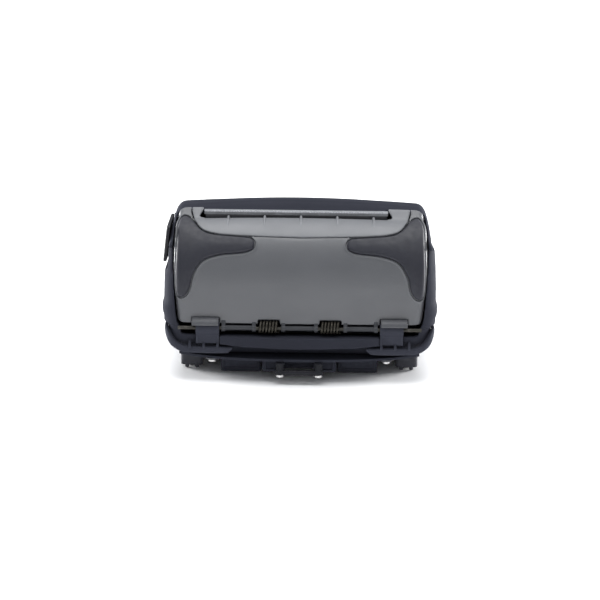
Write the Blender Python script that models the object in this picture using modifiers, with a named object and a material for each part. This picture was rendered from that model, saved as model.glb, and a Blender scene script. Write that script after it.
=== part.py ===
"""Rugged portable label printer: a clamshell media door at the rear, a sloped control panel at the front.

Lengths below are millimetres and become metres when a mesh is made. X is across, to the right seen
from the rear, +Y runs from the media door towards the control panel, and Z is up from the feet.
"""

import math

import bmesh
import bpy
from mathutils import Vector
from mathutils.geometry import delaunay_2d_cdt

MM = 0.001
GAP = 0.3                      # clearance that neighbouring pieces keep

# Body
SEAM_Z = 70.0                  # height of the joint between tub and front housing at Y = 0
SEAM_SLOPE = -0.1              # the joint falls towards the front
TUB_BOTTOM = 14.5
WALL = 2.6
RIDGE_Y = -12.0
RIDGE_Z = 96.0
FRONT_Y = 72.0
HOUSING_HALF = 77.2
BAY_HALF = 74.2                # half-width of the door opening
BAY_FRONT = -26.2              # where the opening meets the tear bar

SCREW_X = 50.5
SCREW_Y = -57.5

# Door hinge
PIN_Y = -64.0
PIN_Z = 31.0
PIN_RADIUS = 1.1
LUGS = (-43.8, -26.3, -9.4, 9.4, 26.3, 43.8)
TAB_X = 52.9                   # hinge tabs left and right of the middle
TAB_HALF = 6.7
CAP_SPAN = (46.6, 61.8)
SPRING_X = 17.7
SPRING_TURNS = 6
SPRING_PITCH = 1.75
SPRING_WIRE = 0.65
SPRING_COIL = 2.25

# Door surface: a rising profile made of tangent arcs, (radius, arc length)
DOOR_START = (-64.0, 33.5)
DOOR_START_LEAN = 2.8
DOOR_ARCS = ((260.0, 20.0), (65.0, 10.0), (40.0, 22.0), (28.0, 19.6))
EAR_ARCS = ((260.0, 20.0), (65.0, 10.0), (40.0, 22.0), (28.0, 17.6), (-6.0, 3.5), (500.0, 5.9))
DOOR_LENGTH = sum(length for _, length in DOOR_ARCS)
DOOR_HALF = 73.3
DOOR_EDGE_RADIUS = 5.2
EAR_EDGE_RADIUS = 2.2
EAR_INNER = 56.0               # past this the top edge turns up into the ears
RIGHT_HORN_EXTRA = 5.9         # how much wider the bezel's right-hand horn is than its left
EAR_TOP = 79.0
DOOR_BOW = 1.2
DOOR_BOW_HALF = 68.0
DOOR_SKIN = 2.2
DOOR_FLANGE = 79.0             # half-width of the unrolled sheet, rolled edge and flange included

# Outlines on the door's unrolled surface, right-hand half: (across, along)
PARTING = ((0.0, 51.6), (30.0, 52.6), (47.0, 53.6), (54.5, 55.0), (59.0, 58.8), (62.2, 65.0), (63.9, 71.4))
PAD = (
    (67.8, 72.4), (65.2, 71.0), (63.2, 67.2), (60.9, 61.9), (57.6, 57.0), (53.0, 54.0),
    (45.0, 52.6), (32.0, 51.3), (28.0, 50.0), (26.6, 47.0), (27.9, 43.8), (33.5, 41.8),
    (46.3, 40.4), (56.2, 36.7), (61.6, 28.4), (63.4, 20.6), (66.0, 16.2), (69.2, 15.2),
    (71.3, 17.6), (71.9, 27.0), (71.5, 42.0), (71.1, 58.0), (70.6, 66.0), (69.6, 70.9),
)

# Printing mechanism
PLATEN_Y = -33.0
PLATEN_Z = 77.9
PLATEN_RADIUS = 5.5
PLATEN_HALF = 54.5
GEAR_MODULE = 1.0
GEAR_X = (63.4, 65.8)
PLATEN_TEETH = 12
UPPER_TEETH = 20
LOWER_TEETH = 24
PINION_TEETH = 10
LIFT_ANGLE = math.radians(-33.0)     # from the platen to the upper idler, opposite to the door's first motion
TRAIN_ANGLE = math.radians(-12.0)
LATCH_Y = -13.0
LATCH_Z = 85.0

# Media roll and control panel
ROLL_Y = -27.0
ROLL_Z = 50.0
ROLL_RADIUS = 28.0
RAIL = (-20.0, 25.2)                 # rod that the media guides slide on
PANEL_SLOPE = math.radians(19.0)
PANEL_START = (8.0, 92.4)            # a point on the sloped roof, (y, z)

COLOURS = {
    "housing": ((0.030, 0.033, 0.044), 0.55, 0.0),
    "door": ((0.190, 0.195, 0.215), 0.45, 0.0),
    "bezel": ((0.330, 0.340, 0.370), 0.42, 0.0),
    "pad": ((0.080, 0.080, 0.100), 0.70, 0.0),
    "rubber": ((0.045, 0.048, 0.060), 0.80, 0.0),
    "steel": ((0.620, 0.600, 0.560), 0.30, 1.0),
    "aluminium": ((0.700, 0.710, 0.720), 0.35, 1.0),
    "inner": ((0.060, 0.062, 0.070), 0.60, 0.0),
    "board": ((0.020, 0.150, 0.060), 0.50, 0.0),
    "ceramic": ((0.800, 0.780, 0.720), 0.35, 0.0),
    "gear": ((0.720, 0.700, 0.640), 0.50, 0.0),
    "glass": ((0.020, 0.030, 0.040), 0.08, 0.0),
    "key": ((0.260, 0.270, 0.300), 0.55, 0.0),
}


# ---------------------------------------------------------------- scene and object helpers

def clear_scene():
    for obj in list(bpy.data.objects):
        bpy.data.objects.remove(obj, do_unlink=True)


def make_collection(name):
    made = bpy.data.collections.new(name)
    bpy.context.scene.collection.children.link(made)
    return made


def make_material(name, colour, roughness, metallic):
    material = bpy.data.materials.new(name)
    material.use_nodes = True
    shader = material.node_tree.nodes["Principled BSDF"]
    shader.inputs["Base Color"].default_value = (*colour, 1.0)
    shader.inputs["Roughness"].default_value = roughness
    shader.inputs["Metallic"].default_value = metallic
    return material


def add_object(name, bm, slot, origin=(0.0, 0.0, 0.0)):
    """Turns a bmesh in millimetres into a named object in metres, with its origin at the given point."""
    bmesh.ops.translate(bm, verts=bm.verts, vec=-Vector(origin))
    bmesh.ops.scale(bm, verts=bm.verts, vec=(MM, MM, MM))
    bmesh.ops.recalc_face_normals(bm, faces=bm.faces)
    mesh = bpy.data.meshes.new(name)
    bm.to_mesh(mesh)
    bm.free()
    obj = bpy.data.objects.new(name, mesh)
    obj.location = Vector(origin) * MM
    if slot is None:
        obj.hide_render = True
        obj.display_type = "WIRE"
        CUTTERS.objects.link(obj)
    else:
        mesh.materials.append(MATERIALS[slot])
        PARTS.objects.link(obj)
    return obj


def boolean(obj, other, operation="DIFFERENCE", solver="EXACT"):
    modifier = obj.modifiers.new(other.name, "BOOLEAN")
    modifier.operation = operation
    modifier.object = other
    modifier.solver = solver


def cut(obj, name, bm, solver="EXACT"):
    boolean(obj, add_object(f"cut_{name}", bm, None), solver=solver)


def join(obj, name, bm):
    boolean(obj, add_object(f"join_{name}", bm, None), "UNION")


def bevel(obj, width, segments=2, angle=40.0):
    modifier = obj.modifiers.new("Bevel", "BEVEL")
    modifier.width = width * MM
    modifier.segments = segments
    modifier.limit_method = "ANGLE"
    modifier.angle_limit = math.radians(angle)


def solidify(obj, thickness):
    modifier = obj.modifiers.new("Solidify", "SOLIDIFY")
    modifier.thickness = thickness * MM
    modifier.offset = -1.0
    modifier.use_even_offset = True


# ---------------------------------------------------------------- shape helpers

def block(low, high):
    bm = bmesh.new()
    bmesh.ops.create_cube(bm, size=1.0)
    size = [top - bottom for bottom, top in zip(low, high)]
    middle = [(top + bottom) / 2 for bottom, top in zip(low, high)]
    bmesh.ops.scale(bm, verts=bm.verts, vec=size)
    bmesh.ops.translate(bm, verts=bm.verts, vec=middle)
    return bm


def rod(axis, start, end, centre, radius, sides=20, end_radius=None):
    """A cylinder or cone along X, Y or Z from start to end. centre holds the other two coordinates."""
    bm = bmesh.new()
    bmesh.ops.create_cone(bm, cap_ends=True, segments=sides, radius1=radius,
                          radius2=radius if end_radius is None else end_radius, depth=end - start)
    bmesh.ops.translate(bm, verts=bm.verts, vec=(0, 0, (start + end) / 2))
    for vertex in bm.verts:
        x, y, z = vertex.co
        if axis == "X":
            vertex.co = (z, x + centre[0], y + centre[1])
        elif axis == "Y":
            vertex.co = (y + centre[0], z, x + centre[1])
        else:
            vertex.co = (x + centre[0], y + centre[1], z)
    return bm


def prism(axis, outline, start, end):
    """An outline in the plane across X, Y or Z, extruded from start to end."""
    bm = bmesh.new()
    place = {
        "X": lambda a, b, depth: (depth, a, b),
        "Y": lambda a, b, depth: (a, depth, b),
        "Z": lambda a, b, depth: (a, b, depth),
    }[axis]
    face = bm.faces.new([bm.verts.new(place(a, b, start)) for a, b in outline])
    moved = bmesh.ops.extrude_face_region(bm, geom=[face])["geom"]
    push = Vector(place(0, 0, end - start))
    bmesh.ops.translate(bm, verts=[item for item in moved if isinstance(item, bmesh.types.BMVert)], vec=push)
    return bm


def loft(rings):
    """A closed solid through rings of equal length, capped at both ends."""
    bm = bmesh.new()
    rows = [[bm.verts.new(point) for point in ring] for ring in rings]
    for low, high in zip(rows, rows[1:]):
        for index in range(len(low)):
            after = (index + 1) % len(low)
            bm.faces.new((low[index], low[after], high[after], high[index]))
    bm.faces.new(rows[0])
    bm.faces.new(rows[-1])
    return bm


def arc(centre, radius, start, end, steps):
    """Points on a circle from one angle to another, in degrees, both ends included."""
    angles = [math.radians(start + (end - start) * step / steps) for step in range(steps + 1)]
    return [(centre[0] + radius * math.cos(a), centre[1] + radius * math.sin(a)) for a in angles]


def rounded_rectangle(half, rear, front, radius, steps=4):
    points = []
    corners = ((half, front, 0), (-half, front, 90), (-half, rear, 180), (half, rear, 270))
    for x, y, start in corners:
        centre = (x - math.copysign(radius, x), y - math.copysign(radius, y - (rear + front) / 2))
        points += arc(centre, radius, start, start + 90, steps)
    return points


def smooth_loop(points, per_span=3):
    """A closed Catmull-Rom curve through the points."""
    made = []
    count = len(points)
    for index in range(count):
        p0, p1, p2, p3 = (Vector(points[(index + offset) % count]) for offset in (-1, 0, 1, 2))
        for step in range(per_span):
            t = step / per_span
            made.append(tuple(0.5 * (2 * p1 + (p2 - p0) * t + (2 * p0 - 5 * p1 + 4 * p2 - p3) * t ** 2
                                     + (3 * p1 - p0 - 3 * p2 + p3) * t ** 3)))
    return made


def smoothstep(value, low, high):
    t = min(max((value - low) / (high - low), 0.0), 1.0)
    return t * t * (3 - 2 * t)


def interpolate(table, value):
    """Straight-line lookup in rows whose first column rises."""
    for low, high in zip(table, table[1:]):
        if value <= high[0]:
            t = (value - low[0]) / (high[0] - low[0])
            return [a + (b - a) * t for a, b in zip(low[1:], high[1:])]
    return list(table[-1][1:])


# ---------------------------------------------------------------- body shells

# (height, half-width, rear y, front y, corner radius)
TUB_SECTIONS = (
    (14.5, 70.0, -58.0, 64.0, 10.0),
    (19.5, 74.0, -60.5, 68.0, 11.0),
    (22.0, 76.2, -63.2, 70.0, 12.0),
    (31.0, 76.4, -63.4, 71.6, 12.0),
    (32.0, 79.0, -63.4, 72.0, 12.0),
    (36.0, 79.0, -63.2, 72.0, 12.0),
    (38.0, 80.0, -63.0, 72.0, 12.0),
    (43.0, 80.0, -62.4, 72.0, 12.0),
    (45.0, 79.0, -62.2, 72.0, 12.0),
    (54.0, 78.9, -60.6, 72.0, 12.0),
    (65.0, 78.4, -58.0, 72.0, 12.0),
    (78.0, 77.8, -50.2, 72.0, 12.0),
)


def tub_solid(inset, bottom, top):
    rings = []
    heights = [bottom] + [row[0] for row in TUB_SECTIONS if bottom < row[0] < top] + [top]
    for z in heights:
        half, rear, front, radius = interpolate(TUB_SECTIONS, max(z, TUB_SECTIONS[0][0]))
        outline = rounded_rectangle(half - inset, rear + inset, front - inset, radius - inset)
        rings.append([(x, y, z) for x, y in outline])
    return loft(rings)


# Roof line in the side view (y, height, crown drop at the sides)
ROOF = (
    (-51.0, 75.9, 0.3), (-47.6, 80.0, 0.4), (-41.0, 85.2, 0.4), (-35.0, 88.6, 0.6),
    (-28.0, 91.8, 1.4), (-20.0, 94.6, 3.2), (-12.0, 96.0, 4.2), (-2.0, 95.0, 3.4), (8.0, 92.4, 2.2),
    (18.0, 89.0, 1.4), (60.0, 74.5, 1.4), (66.0, 72.0, 1.2), (70.0, 69.0, 0.8), (72.0, 66.4, 0.2),
)
HOUSING_LEAN = math.tan(math.radians(6.3))
LEAN_START_Z = 65.0
HOUSING_CORNER = 6.5


def seam_height(y):
    return SEAM_Z + SEAM_SLOPE * y


def housing_half_width(y):
    """Half-width at the seam: full along the sides, rounded in at both ends."""
    half = HOUSING_HALF
    if y > FRONT_Y - 12:
        half -= 12 - math.sqrt(max(12 ** 2 - (y - FRONT_Y + 12) ** 2, 0.0))
    if y < -50:
        half -= 8 - math.sqrt(max(8 ** 2 - (y + 50) ** 2, 0.0))
    return half


def housing_section(y, inset, above_seam):
    """One closed ring of the front housing at a station along Y, its foot measured from the tub joint."""
    roof, drop = interpolate(ROOF, y)
    bottom = seam_height(y) + above_seam
    half = housing_half_width(y) - inset
    roof -= inset
    corner = min(HOUSING_CORNER - inset / 2, (roof - drop - bottom) * 0.8)
    shoulder = roof - drop - corner
    outer = half - (shoulder - LEAN_START_Z) * HOUSING_LEAN
    right = [(half - (bottom - LEAN_START_Z) * HOUSING_LEAN, bottom)]
    right += [(outer - corner * (1 - math.cos(a)), shoulder + corner * math.sin(a))
              for a in (math.radians(step * 20.0) for step in range(5))]
    inner = right[-1][0]
    base = right[-1][1]
    right += [(inner * f, base + (roof - base) * (1 - f * f)) for f in (0.75, 0.5, 0.25)]
    ring = right + [(0.0, roof)] + [(-x, z) for x, z in reversed(right)]
    return [(x, y, z) for x, z in ring]


def housing_solid(inset, above_seam):
    start = ROOF[0][0] + inset
    end = ROOF[-1][0] - inset
    inside = [row[0] for row in ROOF] + [34.0, 63.0, 68.0]
    stations = [start] + sorted(y for y in inside if start + 1 < y < end - 1) + [end]
    return loft([housing_section(y, inset, above_seam) for y in stations])


def door_bay():
    """The opening between the side frames, narrowing towards the top like the door does."""
    half = ((27.0, BAY_HALF), (60.0, BAY_HALF), (80.0, 74.0), (86.0, 73.2), (90.0, 72.7), (104.0, 72.4))
    outline = [(x, z) for z, x in half] + [(-x, z) for z, x in reversed(half)]
    return prism("Y", outline, -95.0, BAY_FRONT)


def build_tub():
    tub = add_object("base_tub", tub_solid(0.0, TUB_BOTTOM, 78.0), "housing")
    seam = [(y, seam_height(y) - GAP) for y in (-90.0, 90.0)]
    cut(tub, "tub_top", prism("X", seam + [(90.0, 110.0), (-90.0, 110.0)], -90.0, 90.0))
    cut(tub, "tub_cavity", tub_solid(WALL, TUB_BOTTOM + WALL, 85.0))
    arch = [(-46.8, 29.8), (-46.8, 23.6), (-30.0, 21.4), (0.0, 20.0),
            (30.0, 21.4), (46.8, 23.6), (46.8, 29.8)]
    band = prism("Y", arch, -71.5, -61.6)
    join(tub, "rear_band", band)
    curve = [(-60.0, -60.0), (-46.8, -67.6), (-24.0, -69.4), (0.0, -70.0),
             (24.0, -69.4), (46.8, -67.6), (60.0, -60.0)]
    behind = curve + [(60.0, -80.0), (-60.0, -80.0)]
    cut(tub, "band_front", prism("Z", behind, 19.0, 31.0))
    cut(tub, "hinge_trough", block((-71.0, -67.0, 27.2), (71.0, -57.0, 50.0)))
    cut(tub, "tub_door_bay", block((-BAY_HALF, -90.0, 29.9), (BAY_HALF, -42.0, 90.0)))
    for side in (-1, 1):
        spot = side * TAB_X
        seat = block((spot - TAB_HALF - GAP, -80.0, 22.1), (spot + TAB_HALF + GAP, -57.0, 40.0))
        cut(tub, f"tab_seat_{side}", seat)
    cut(tub, "battery_door", block((-36.4, 60.0, 17.4), (36.4, 90.0, 38.4)))
    cut(tub, "lever_recess", block((-90.0, -60.0, 62.0), (-76.4, -4.0, 85.0)))
    cut(tub, "port_window", block((70.0, 22.0, 47.0), (90.0, 50.0, 60.0)))


def build_front_housing():
    housing = add_object("front_housing", housing_solid(0.0, 0.0), "housing")
    cut(housing, "housing_cavity", housing_solid(WALL, -5.0))
    cut(housing, "housing_door_bay", door_bay())
    for side in (-1, 1):
        ends = sorted((side * (ear_start(side) - 0.4), side * 72.6))
        cut(housing, f"ear_seat_{side}", block((ends[0], -30.0, 84.0), (ends[1], -22.6, 110.0)))
    for name, low, high in PANEL_OPENINGS:
        cut(housing, f"panel_{name}", panel_block(low, high, -8.0, 8.0, GAP))
    cut(housing, "latch_hole", rod("X", -90.0, -60.0, (LATCH_Y, LATCH_Z), 2.6))


def build_bottom():
    rear = [(-70.0, -56.0), (-58.0, -62.0), (-43.0, -66.0), (-22.0, -69.0), (0.0, -70.0),
            (22.0, -69.0), (43.0, -66.0), (58.0, -62.0), (70.0, -56.0)]
    front = [(70.0, 56.0), (62.0, 64.0), (-62.0, 64.0), (-70.0, 56.0)]
    plate = add_object("bottom_plate", prism("Z", rear + front, 12.7, 14.2), "housing")
    for side, name in ((-1, "left"), (1, "right")):
        outer = sorted((side * 57.0, side * 70.0))
        rail = block((outer[0], -44.0, 0.0), (outer[1], 50.0, 12.4))
        foot = add_object(f"foot_rail_{name}", rail, "rubber")
        bevel(foot, 1.2)
        inner = sorted((side * 22.5, side * 46.0))
        core = block((inner[0], -50.0, 0.0), (inner[1], 20.0, 12.4))
        base = add_object(f"base_block_{name}", core, "housing")
        bevel(base, 1.0)
        spot = (side * SCREW_X, SCREW_Y)
        join(plate, f"screw_boss_{name}", rod("Z", 9.2, 13.0, spot, 3.6, 20, 5.6))
        add_object(f"base_screw_{name}", rod("Z", 7.6, 8.9, spot, 2.3, 16), "steel")


def build_strap_bar():
    mount = add_object("strap_mount", block((-21.5, -64.0, 5.2), (21.5, -52.0, 12.4)), "housing")
    cut(mount, "strap_recess", block((-8.4, -66.0, 4.0), (8.4, -57.0, 11.0)))
    bar = add_object("strap_bar", rod("X", -14.0, 14.0, (-71.7, 6.9), 1.4, 16), "steel")
    for x in (-11.0, 11.0):
        join(bar, f"post_{x:.0f}", rod("Z", 6.9, 12.4, (x, -70.4), 2.5, 16))
        name = "left" if x < 0 else "right"
        add_object(f"strap_screw_{name}", rod("Z", 3.2, 5.1, (x, -70.6), 2.4, 16), "steel")


# (angle round the corner, lower edge, upper edge) of a corner bumper, from the rear face round to the side
BUMPER = (
    (272.0, 16.5, 20.7), (290.0, 17.2, 21.7), (312.0, 19.1, 24.6), (326.0, 20.8, 27.6), (340.0, 23.3, 29.8),
    (360.0, 27.3, 30.6),
)


def bumper_stations():
    """(inner point, outer point, lower edge, upper edge) along the right-hand bumper, rear end first."""
    rows = [((38.7, -64.1), (38.7, -68.4), 18.4, 20.9), ((42.2, -64.1), (42.2, -68.5), 16.6, 20.8)]
    for angle, low, high in BUMPER:
        a = math.radians(angle)
        inner = (64.4 + 12.4 * math.cos(a), -51.4 + 12.5 * math.sin(a))
        outer = (64.4 + 13.9 * math.cos(a), -54.0 + 13.0 * math.sin(a))
        rows.append((inner, outer, low, high))
    for angle, low, high in reversed(BUMPER):
        a = math.radians(360.0 - angle)
        inner = (64.6 + 12.2 * math.cos(a), 58.9 + 12.3 * math.sin(a))
        outer = (64.6 + 13.8 * math.cos(a), 58.9 + 13.9 * math.sin(a))
        rows.append((inner, outer, low, high))
    rows.append(((44.0, 71.2), (44.0, 72.8), 17.2, 20.8))
    return rows


def build_bumpers():
    """Corner bumpers wrap the lower corners and run along the sides between them."""
    for side, name in ((-1, "left"), (1, "right")):
        rings = []
        for inner, outer, low, high in bumper_stations():
            corners = ((inner, low), (outer, low + 0.8), (outer, high - 0.8), (inner, high))
            rings.append([(side * x, y, z) for (x, y), z in corners])
        add_object(f"bumper_rail_{name}", loft(rings), "housing")


# ---------------------------------------------------------------- door

def door_profile(along, arcs):
    """(y, z, lean) up the door in the side view. lean is the slope away from upright, in radians."""
    y, z = DOOR_START
    lean = math.radians(DOOR_START_LEAN)
    left = along
    for index, (radius, length) in enumerate(arcs):
        last = index == len(arcs) - 1
        step = left if last else min(left, length)
        turned = lean + step / radius
        y += radius * (math.cos(lean) - math.cos(turned))
        z += radius * (math.sin(turned) - math.sin(lean))
        lean = turned
        left -= step
        if left <= 0:
            break
    return y, z, lean


def door_half_width(along):
    """Half-width over the rolled side edges: widest at mid height, in at the foot and slightly at the top."""
    upper = 1.3 * (max(min(along, 73.0) - 42.0, 0.0) / 29.6) ** 4
    lower = 1.5 * (max(50.0 - along, 0.0) / 38.0) ** 1.5
    return DOOR_HALF - upper - lower


def ear_start(side):
    """The distance from the middle line at which the top edge turns up, on the given side."""
    return EAR_INNER - (RIGHT_HORN_EXTRA if side > 0 else 0.0)


def door_point(across, along, lift=0.0):
    """Maps unrolled door coordinates to space. The side edges roll inwards; lift is out of the surface."""
    start = ear_start(across)
    share = smoothstep(abs(across), start, start + 0.9)
    plain = door_profile(along, DOOR_ARCS)
    ear = door_profile(along, EAR_ARCS)
    y, z, lean = (a + (b - a) * share for a, b in zip(plain, ear))
    radius = DOOR_EDGE_RADIUS + (EAR_EDGE_RADIUS - DOOR_EDGE_RADIUS) * smoothstep(along, 46.0, 68.0)
    flat = door_half_width(along) - radius
    reach = abs(across)
    turn = min(max((reach - flat) / radius, 0.0), math.pi / 2)
    flange = max(reach - flat - radius * math.pi / 2, 0.0)
    x = min(reach, flat) + (radius + lift) * math.sin(turn)
    out = (radius + lift) * math.cos(turn) - radius - flange
    out -= DOOR_BOW * (min(reach, DOOR_BOW_HALF) / DOOR_BOW_HALF) ** 2
    return math.copysign(x, across), y - math.cos(lean) * out, z + math.sin(lean) * out


def surface_patch(outline, columns, rows, lift=0.0):
    """An open sheet on the door surface, inside the outline, with a vertex at each grid crossing."""
    count = len(outline)
    points = [Vector(point) for point in outline]
    inside = [Vector((a, b)) for a in columns for b in rows if inside_outline((a, b), outline, 1.2)]
    edges = [(index, (index + 1) % count) for index in range(count)]
    vertices, _, faces, _, _, _ = delaunay_2d_cdt(points + inside, edges, [], 1, 1e-5)
    bm = bmesh.new()
    made = [bm.verts.new(door_point(point[0], point[1], lift)) for point in vertices]
    for face in faces:
        bm.faces.new([made[index] for index in face])
    return bm


def inside_outline(point, outline, margin):
    """True where the point is inside the outline and at least margin from it."""
    x, y = point
    crossings = 0
    for (x1, y1), (x2, y2) in zip(outline, outline[1:] + outline[:1]):
        if (y1 > y) != (y2 > y) and x < x1 + (y - y1) * (x2 - x1) / (y2 - y1):
            crossings += 1
        run = Vector((x2 - x1, y2 - y1))
        t = min(max(Vector((x - x1, y - y1)).dot(run) / max(run.dot(run), 1e-9), 0.0), 1.0)
        if math.hypot(x - x1 - run[0] * t, y - y1 - run[1] * t) < margin:
            return False
    return crossings % 2 == 1


def mirrored(half):
    """A full outline from its right-hand half, which starts and ends on the middle line or at an edge."""
    return list(half) + [(-x, y) for x, y in reversed(half) if x > 1e-6]


ROLL_COLUMNS = [side * x for side in (-1, 1) for x in (77.4, 75.4, 73.6, 71.8, 70.0, 68.2, 66.4)]
FLAT_COLUMNS = [-57.6, -51.0, -34.0, -17.0, 0.0, 17.0, 34.0, 45.0, 51.7, 57.6]
DOOR_ROWS = [2.5, 10.0, 18.0, 24.0, 29.0, 34.0, 39.0, 44.0, 49.0, 54.0, 59.0, 64.0, 69.0, 72.0, 75.0]


def build_door():
    bottom = [(0.0, 0.9), (66.0, 0.9), (71.0, 2.0), (74.5, 4.4), (DOOR_FLANGE - 2.4, 8.0)]
    side = [(DOOR_FLANGE, 30.0), (DOOR_FLANGE, 44.0), (77.4, 50.0), (76.0, 56.0), (75.0, 64.0), (74.2, 72.0)]
    ear = [(73.4, 75.6), (71.6, 78.0), (69.0, EAR_TOP), (64.6, EAR_TOP), (64.4, 72.0)]
    inner = [(x + 0.5, y - 0.5) if x else (x, y - 0.5) for x, y in reversed(PARTING[:-1])]
    shell = surface_patch(mirrored(bottom + side + ear + inner), FLAT_COLUMNS + ROLL_COLUMNS, DOOR_ROWS)
    door = add_object("door_shell", shell, "door", (0.0, PIN_Y, PIN_Z))
    solidify(door, DOOR_SKIN)
    for side, name in ((-1, "left"), (1, "right")):
        ends = sorted(side * x for x in (CAP_SPAN[0] - 0.4, CAP_SPAN[1] + 0.4))
        cut(door, f"cap_slot_{name}", block((ends[0], -80.0, 25.0), (ends[1], -59.0, 37.7)))

    rim = [(x, y + 0.1) for x, y in PARTING] + [(64.0, EAR_TOP)]
    horn = [(57.4, EAR_TOP), (59.4, 72.6), (57.4, DOOR_LENGTH)]
    outline = rim + [(x - RIGHT_HORN_EXTRA, y) for x, y in horn] + [(-x, y) for x, y in reversed(horn)]
    outline += [(-x, y) for x, y in reversed(rim) if x > 1e-6]
    patch = surface_patch(outline, FLAT_COLUMNS, DOOR_ROWS)
    bezel = add_object("door_bezel", patch, "bezel", (0.0, PIN_Y, PIN_Z))
    solidify(bezel, DOOR_SKIN)
    for index in range(5):
        x = (index - 2) * 21.2
        rib = block((x - 0.8, -37.4, 86.8), (x + 0.8, -31.8, 89.8))
        join(bezel, f"rib_{index}", rib)

    for side, name in ((-1, "left"), (1, "right")):
        outline = smooth_loop([(side * x, y) for x, y in PAD])
        pad = surface_patch(outline, [side * x for x in (71.0, 69.2, 67.4, 64.0, 58.0, 50.0, 42.0, 34.0)],
                            DOOR_ROWS, lift=1.0)
        pad = add_object(f"grip_pad_{name}", pad, "pad", (0.0, PIN_Y, PIN_Z))
        solidify(pad, 0.7)

    leaf = add_object("door_hinge_leaf", block((-66.0, -59.8, 34.6), (66.0, -57.6, 40.0)), "door",
                      (0.0, PIN_Y, PIN_Z))
    for index, x in enumerate(LUGS):
        knuckle = [(-57.9, 39.0), (-60.1, 39.0), (-60.6, 34.4)] + arc((PIN_Y, PIN_Z), 2.6, 60, 300, 8)
        knuckle += [(-60.6, 29.8), (-57.9, 34.8)]
        join(leaf, f"lug_{index}", prism("X", knuckle, x - 1.6, x + 1.6))
    cut(leaf, "leaf_bore", rod("X", -80.0, 80.0, (PIN_Y, PIN_Z), PIN_RADIUS + GAP, 16))
    for side, name in ((-1, "left"), (1, "right")):
        cut(leaf, f"leaf_gap_{name}", block((side * TAB_X - TAB_HALF - 0.5, -70.0, 26.0),
                                            (side * TAB_X + TAB_HALF + 0.5, -57.0, 36.2)))


def build_hinge():
    add_object("hinge_pin", rod("X", -70.0, 70.0, (PIN_Y, PIN_Z), PIN_RADIUS, 16), "steel")
    for side, name in ((-1, "left"), (1, "right")):
        middle = side * TAB_X
        tab = [(-66.3, 22.4), (-60.4, 22.4), (-60.4, 31.0)] + arc((PIN_Y, PIN_Z), 3.7, 0, 216, 12)
        tab += [(-66.3, 27.8)]
        body = prism("X", tab, middle - TAB_HALF, middle + TAB_HALF)
        bracket = add_object(f"hinge_bracket_{name}", body, "housing")
        cut(bracket, f"bracket_bore_{name}", rod("X", -80.0, 80.0, (PIN_Y, PIN_Z), PIN_RADIUS + GAP, 16))
        cap_outline = [(-61.0, 36.0), (-61.0, 37.2), (-64.6, 37.1), (-66.9, 36.5), (-68.3, 35.2),
                       (-68.6, 33.9), (-68.2, 33.4), (-67.4, 33.7), (-66.2, 34.8), (-64.0, 35.4),
                       (-62.2, 35.2)]
        cap = prism("X", cap_outline, *sorted(side * x for x in CAP_SPAN))
        add_object(f"hinge_cap_{name}", cap, "door", (0.0, PIN_Y, PIN_Z))
        add_object(f"hinge_spring_{name}", torsion_spring(side * SPRING_X), "steel")


def torsion_spring(middle):
    """A closed-wound coil round the hinge pin with a straight leg down into the tub and one to the front."""
    steps = 12
    total = SPRING_TURNS * steps
    route = [(middle - SPRING_TURNS * SPRING_PITCH / 2, PIN_Y + 6.0, PIN_Z - SPRING_COIL)]
    for step in range(total + 1):
        angle = -math.pi / 2 - 2 * math.pi * step / steps
        x = middle + (step / total - 0.5) * SPRING_TURNS * SPRING_PITCH
        route.append((x, PIN_Y + SPRING_COIL * math.cos(angle), PIN_Z + SPRING_COIL * math.sin(angle)))
    route.append((middle + SPRING_TURNS * SPRING_PITCH / 2, PIN_Y + 5.0, PIN_Z - SPRING_COIL - 0.4))
    return tube(route, SPRING_WIRE, 6)


def tube(route, radius, sides):
    """A round wire along a route of points, with flat ends."""
    points = [Vector(point) for point in route]
    rings = []
    side = None
    for index, point in enumerate(points):
        before = points[max(index - 1, 0)]
        after = points[min(index + 1, len(points) - 1)]
        ahead = (after - before).normalized()
        if side is None:
            side = ahead.orthogonal().normalized()
        side = (side - ahead * side.dot(ahead)).normalized()
        other = ahead.cross(side)
        rings.append([tuple(point + side * radius * math.cos(2 * math.pi * k / sides)
                            + other * radius * math.sin(2 * math.pi * k / sides)) for k in range(sides)])
    return loft(rings)


# ---------------------------------------------------------------- printing mechanism

def gear_outline(teeth, phase):
    """Straight-flanked teeth with running clearance. phase is the angle of one tooth's middle."""
    pitch_radius = teeth * GEAR_MODULE / 2
    root = pitch_radius - 1.25 * GEAR_MODULE
    tip = pitch_radius + 0.8 * GEAR_MODULE
    step = 2 * math.pi / teeth
    points = []
    for index in range(teeth):
        middle = phase + index * step
        for radius, share in ((root, -0.34), (tip, -0.12), (tip, 0.12), (root, 0.34)):
            angle = middle + share * step
            points.append((radius * math.cos(angle), radius * math.sin(angle)))
    return points


def gear(name, centre, teeth, phase, bore, span=GEAR_X):
    outline = [(centre[0] + y, centre[1] + z) for y, z in gear_outline(teeth, phase)]
    made = add_object(name, prism("X", outline, *span), "gear", (0.0, *centre))
    cut(made, f"{name}_bore", rod("X", span[0] - 5, span[1] + 5, centre, bore, 16))
    return made


def meshed_phase(teeth_before, phase_before, angle, teeth):
    """The phase at which a gear's teeth fall between those of the gear before it on the line of centres."""
    return angle + math.pi + (math.pi - teeth_before * (phase_before - angle)) / teeth


def step_towards(centre, angle, distance):
    return centre[0] + distance * math.cos(angle), centre[1] + distance * math.sin(angle)


def mesh_distance(teeth_a, teeth_b):
    return (teeth_a + teeth_b) * GEAR_MODULE / 2


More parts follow.
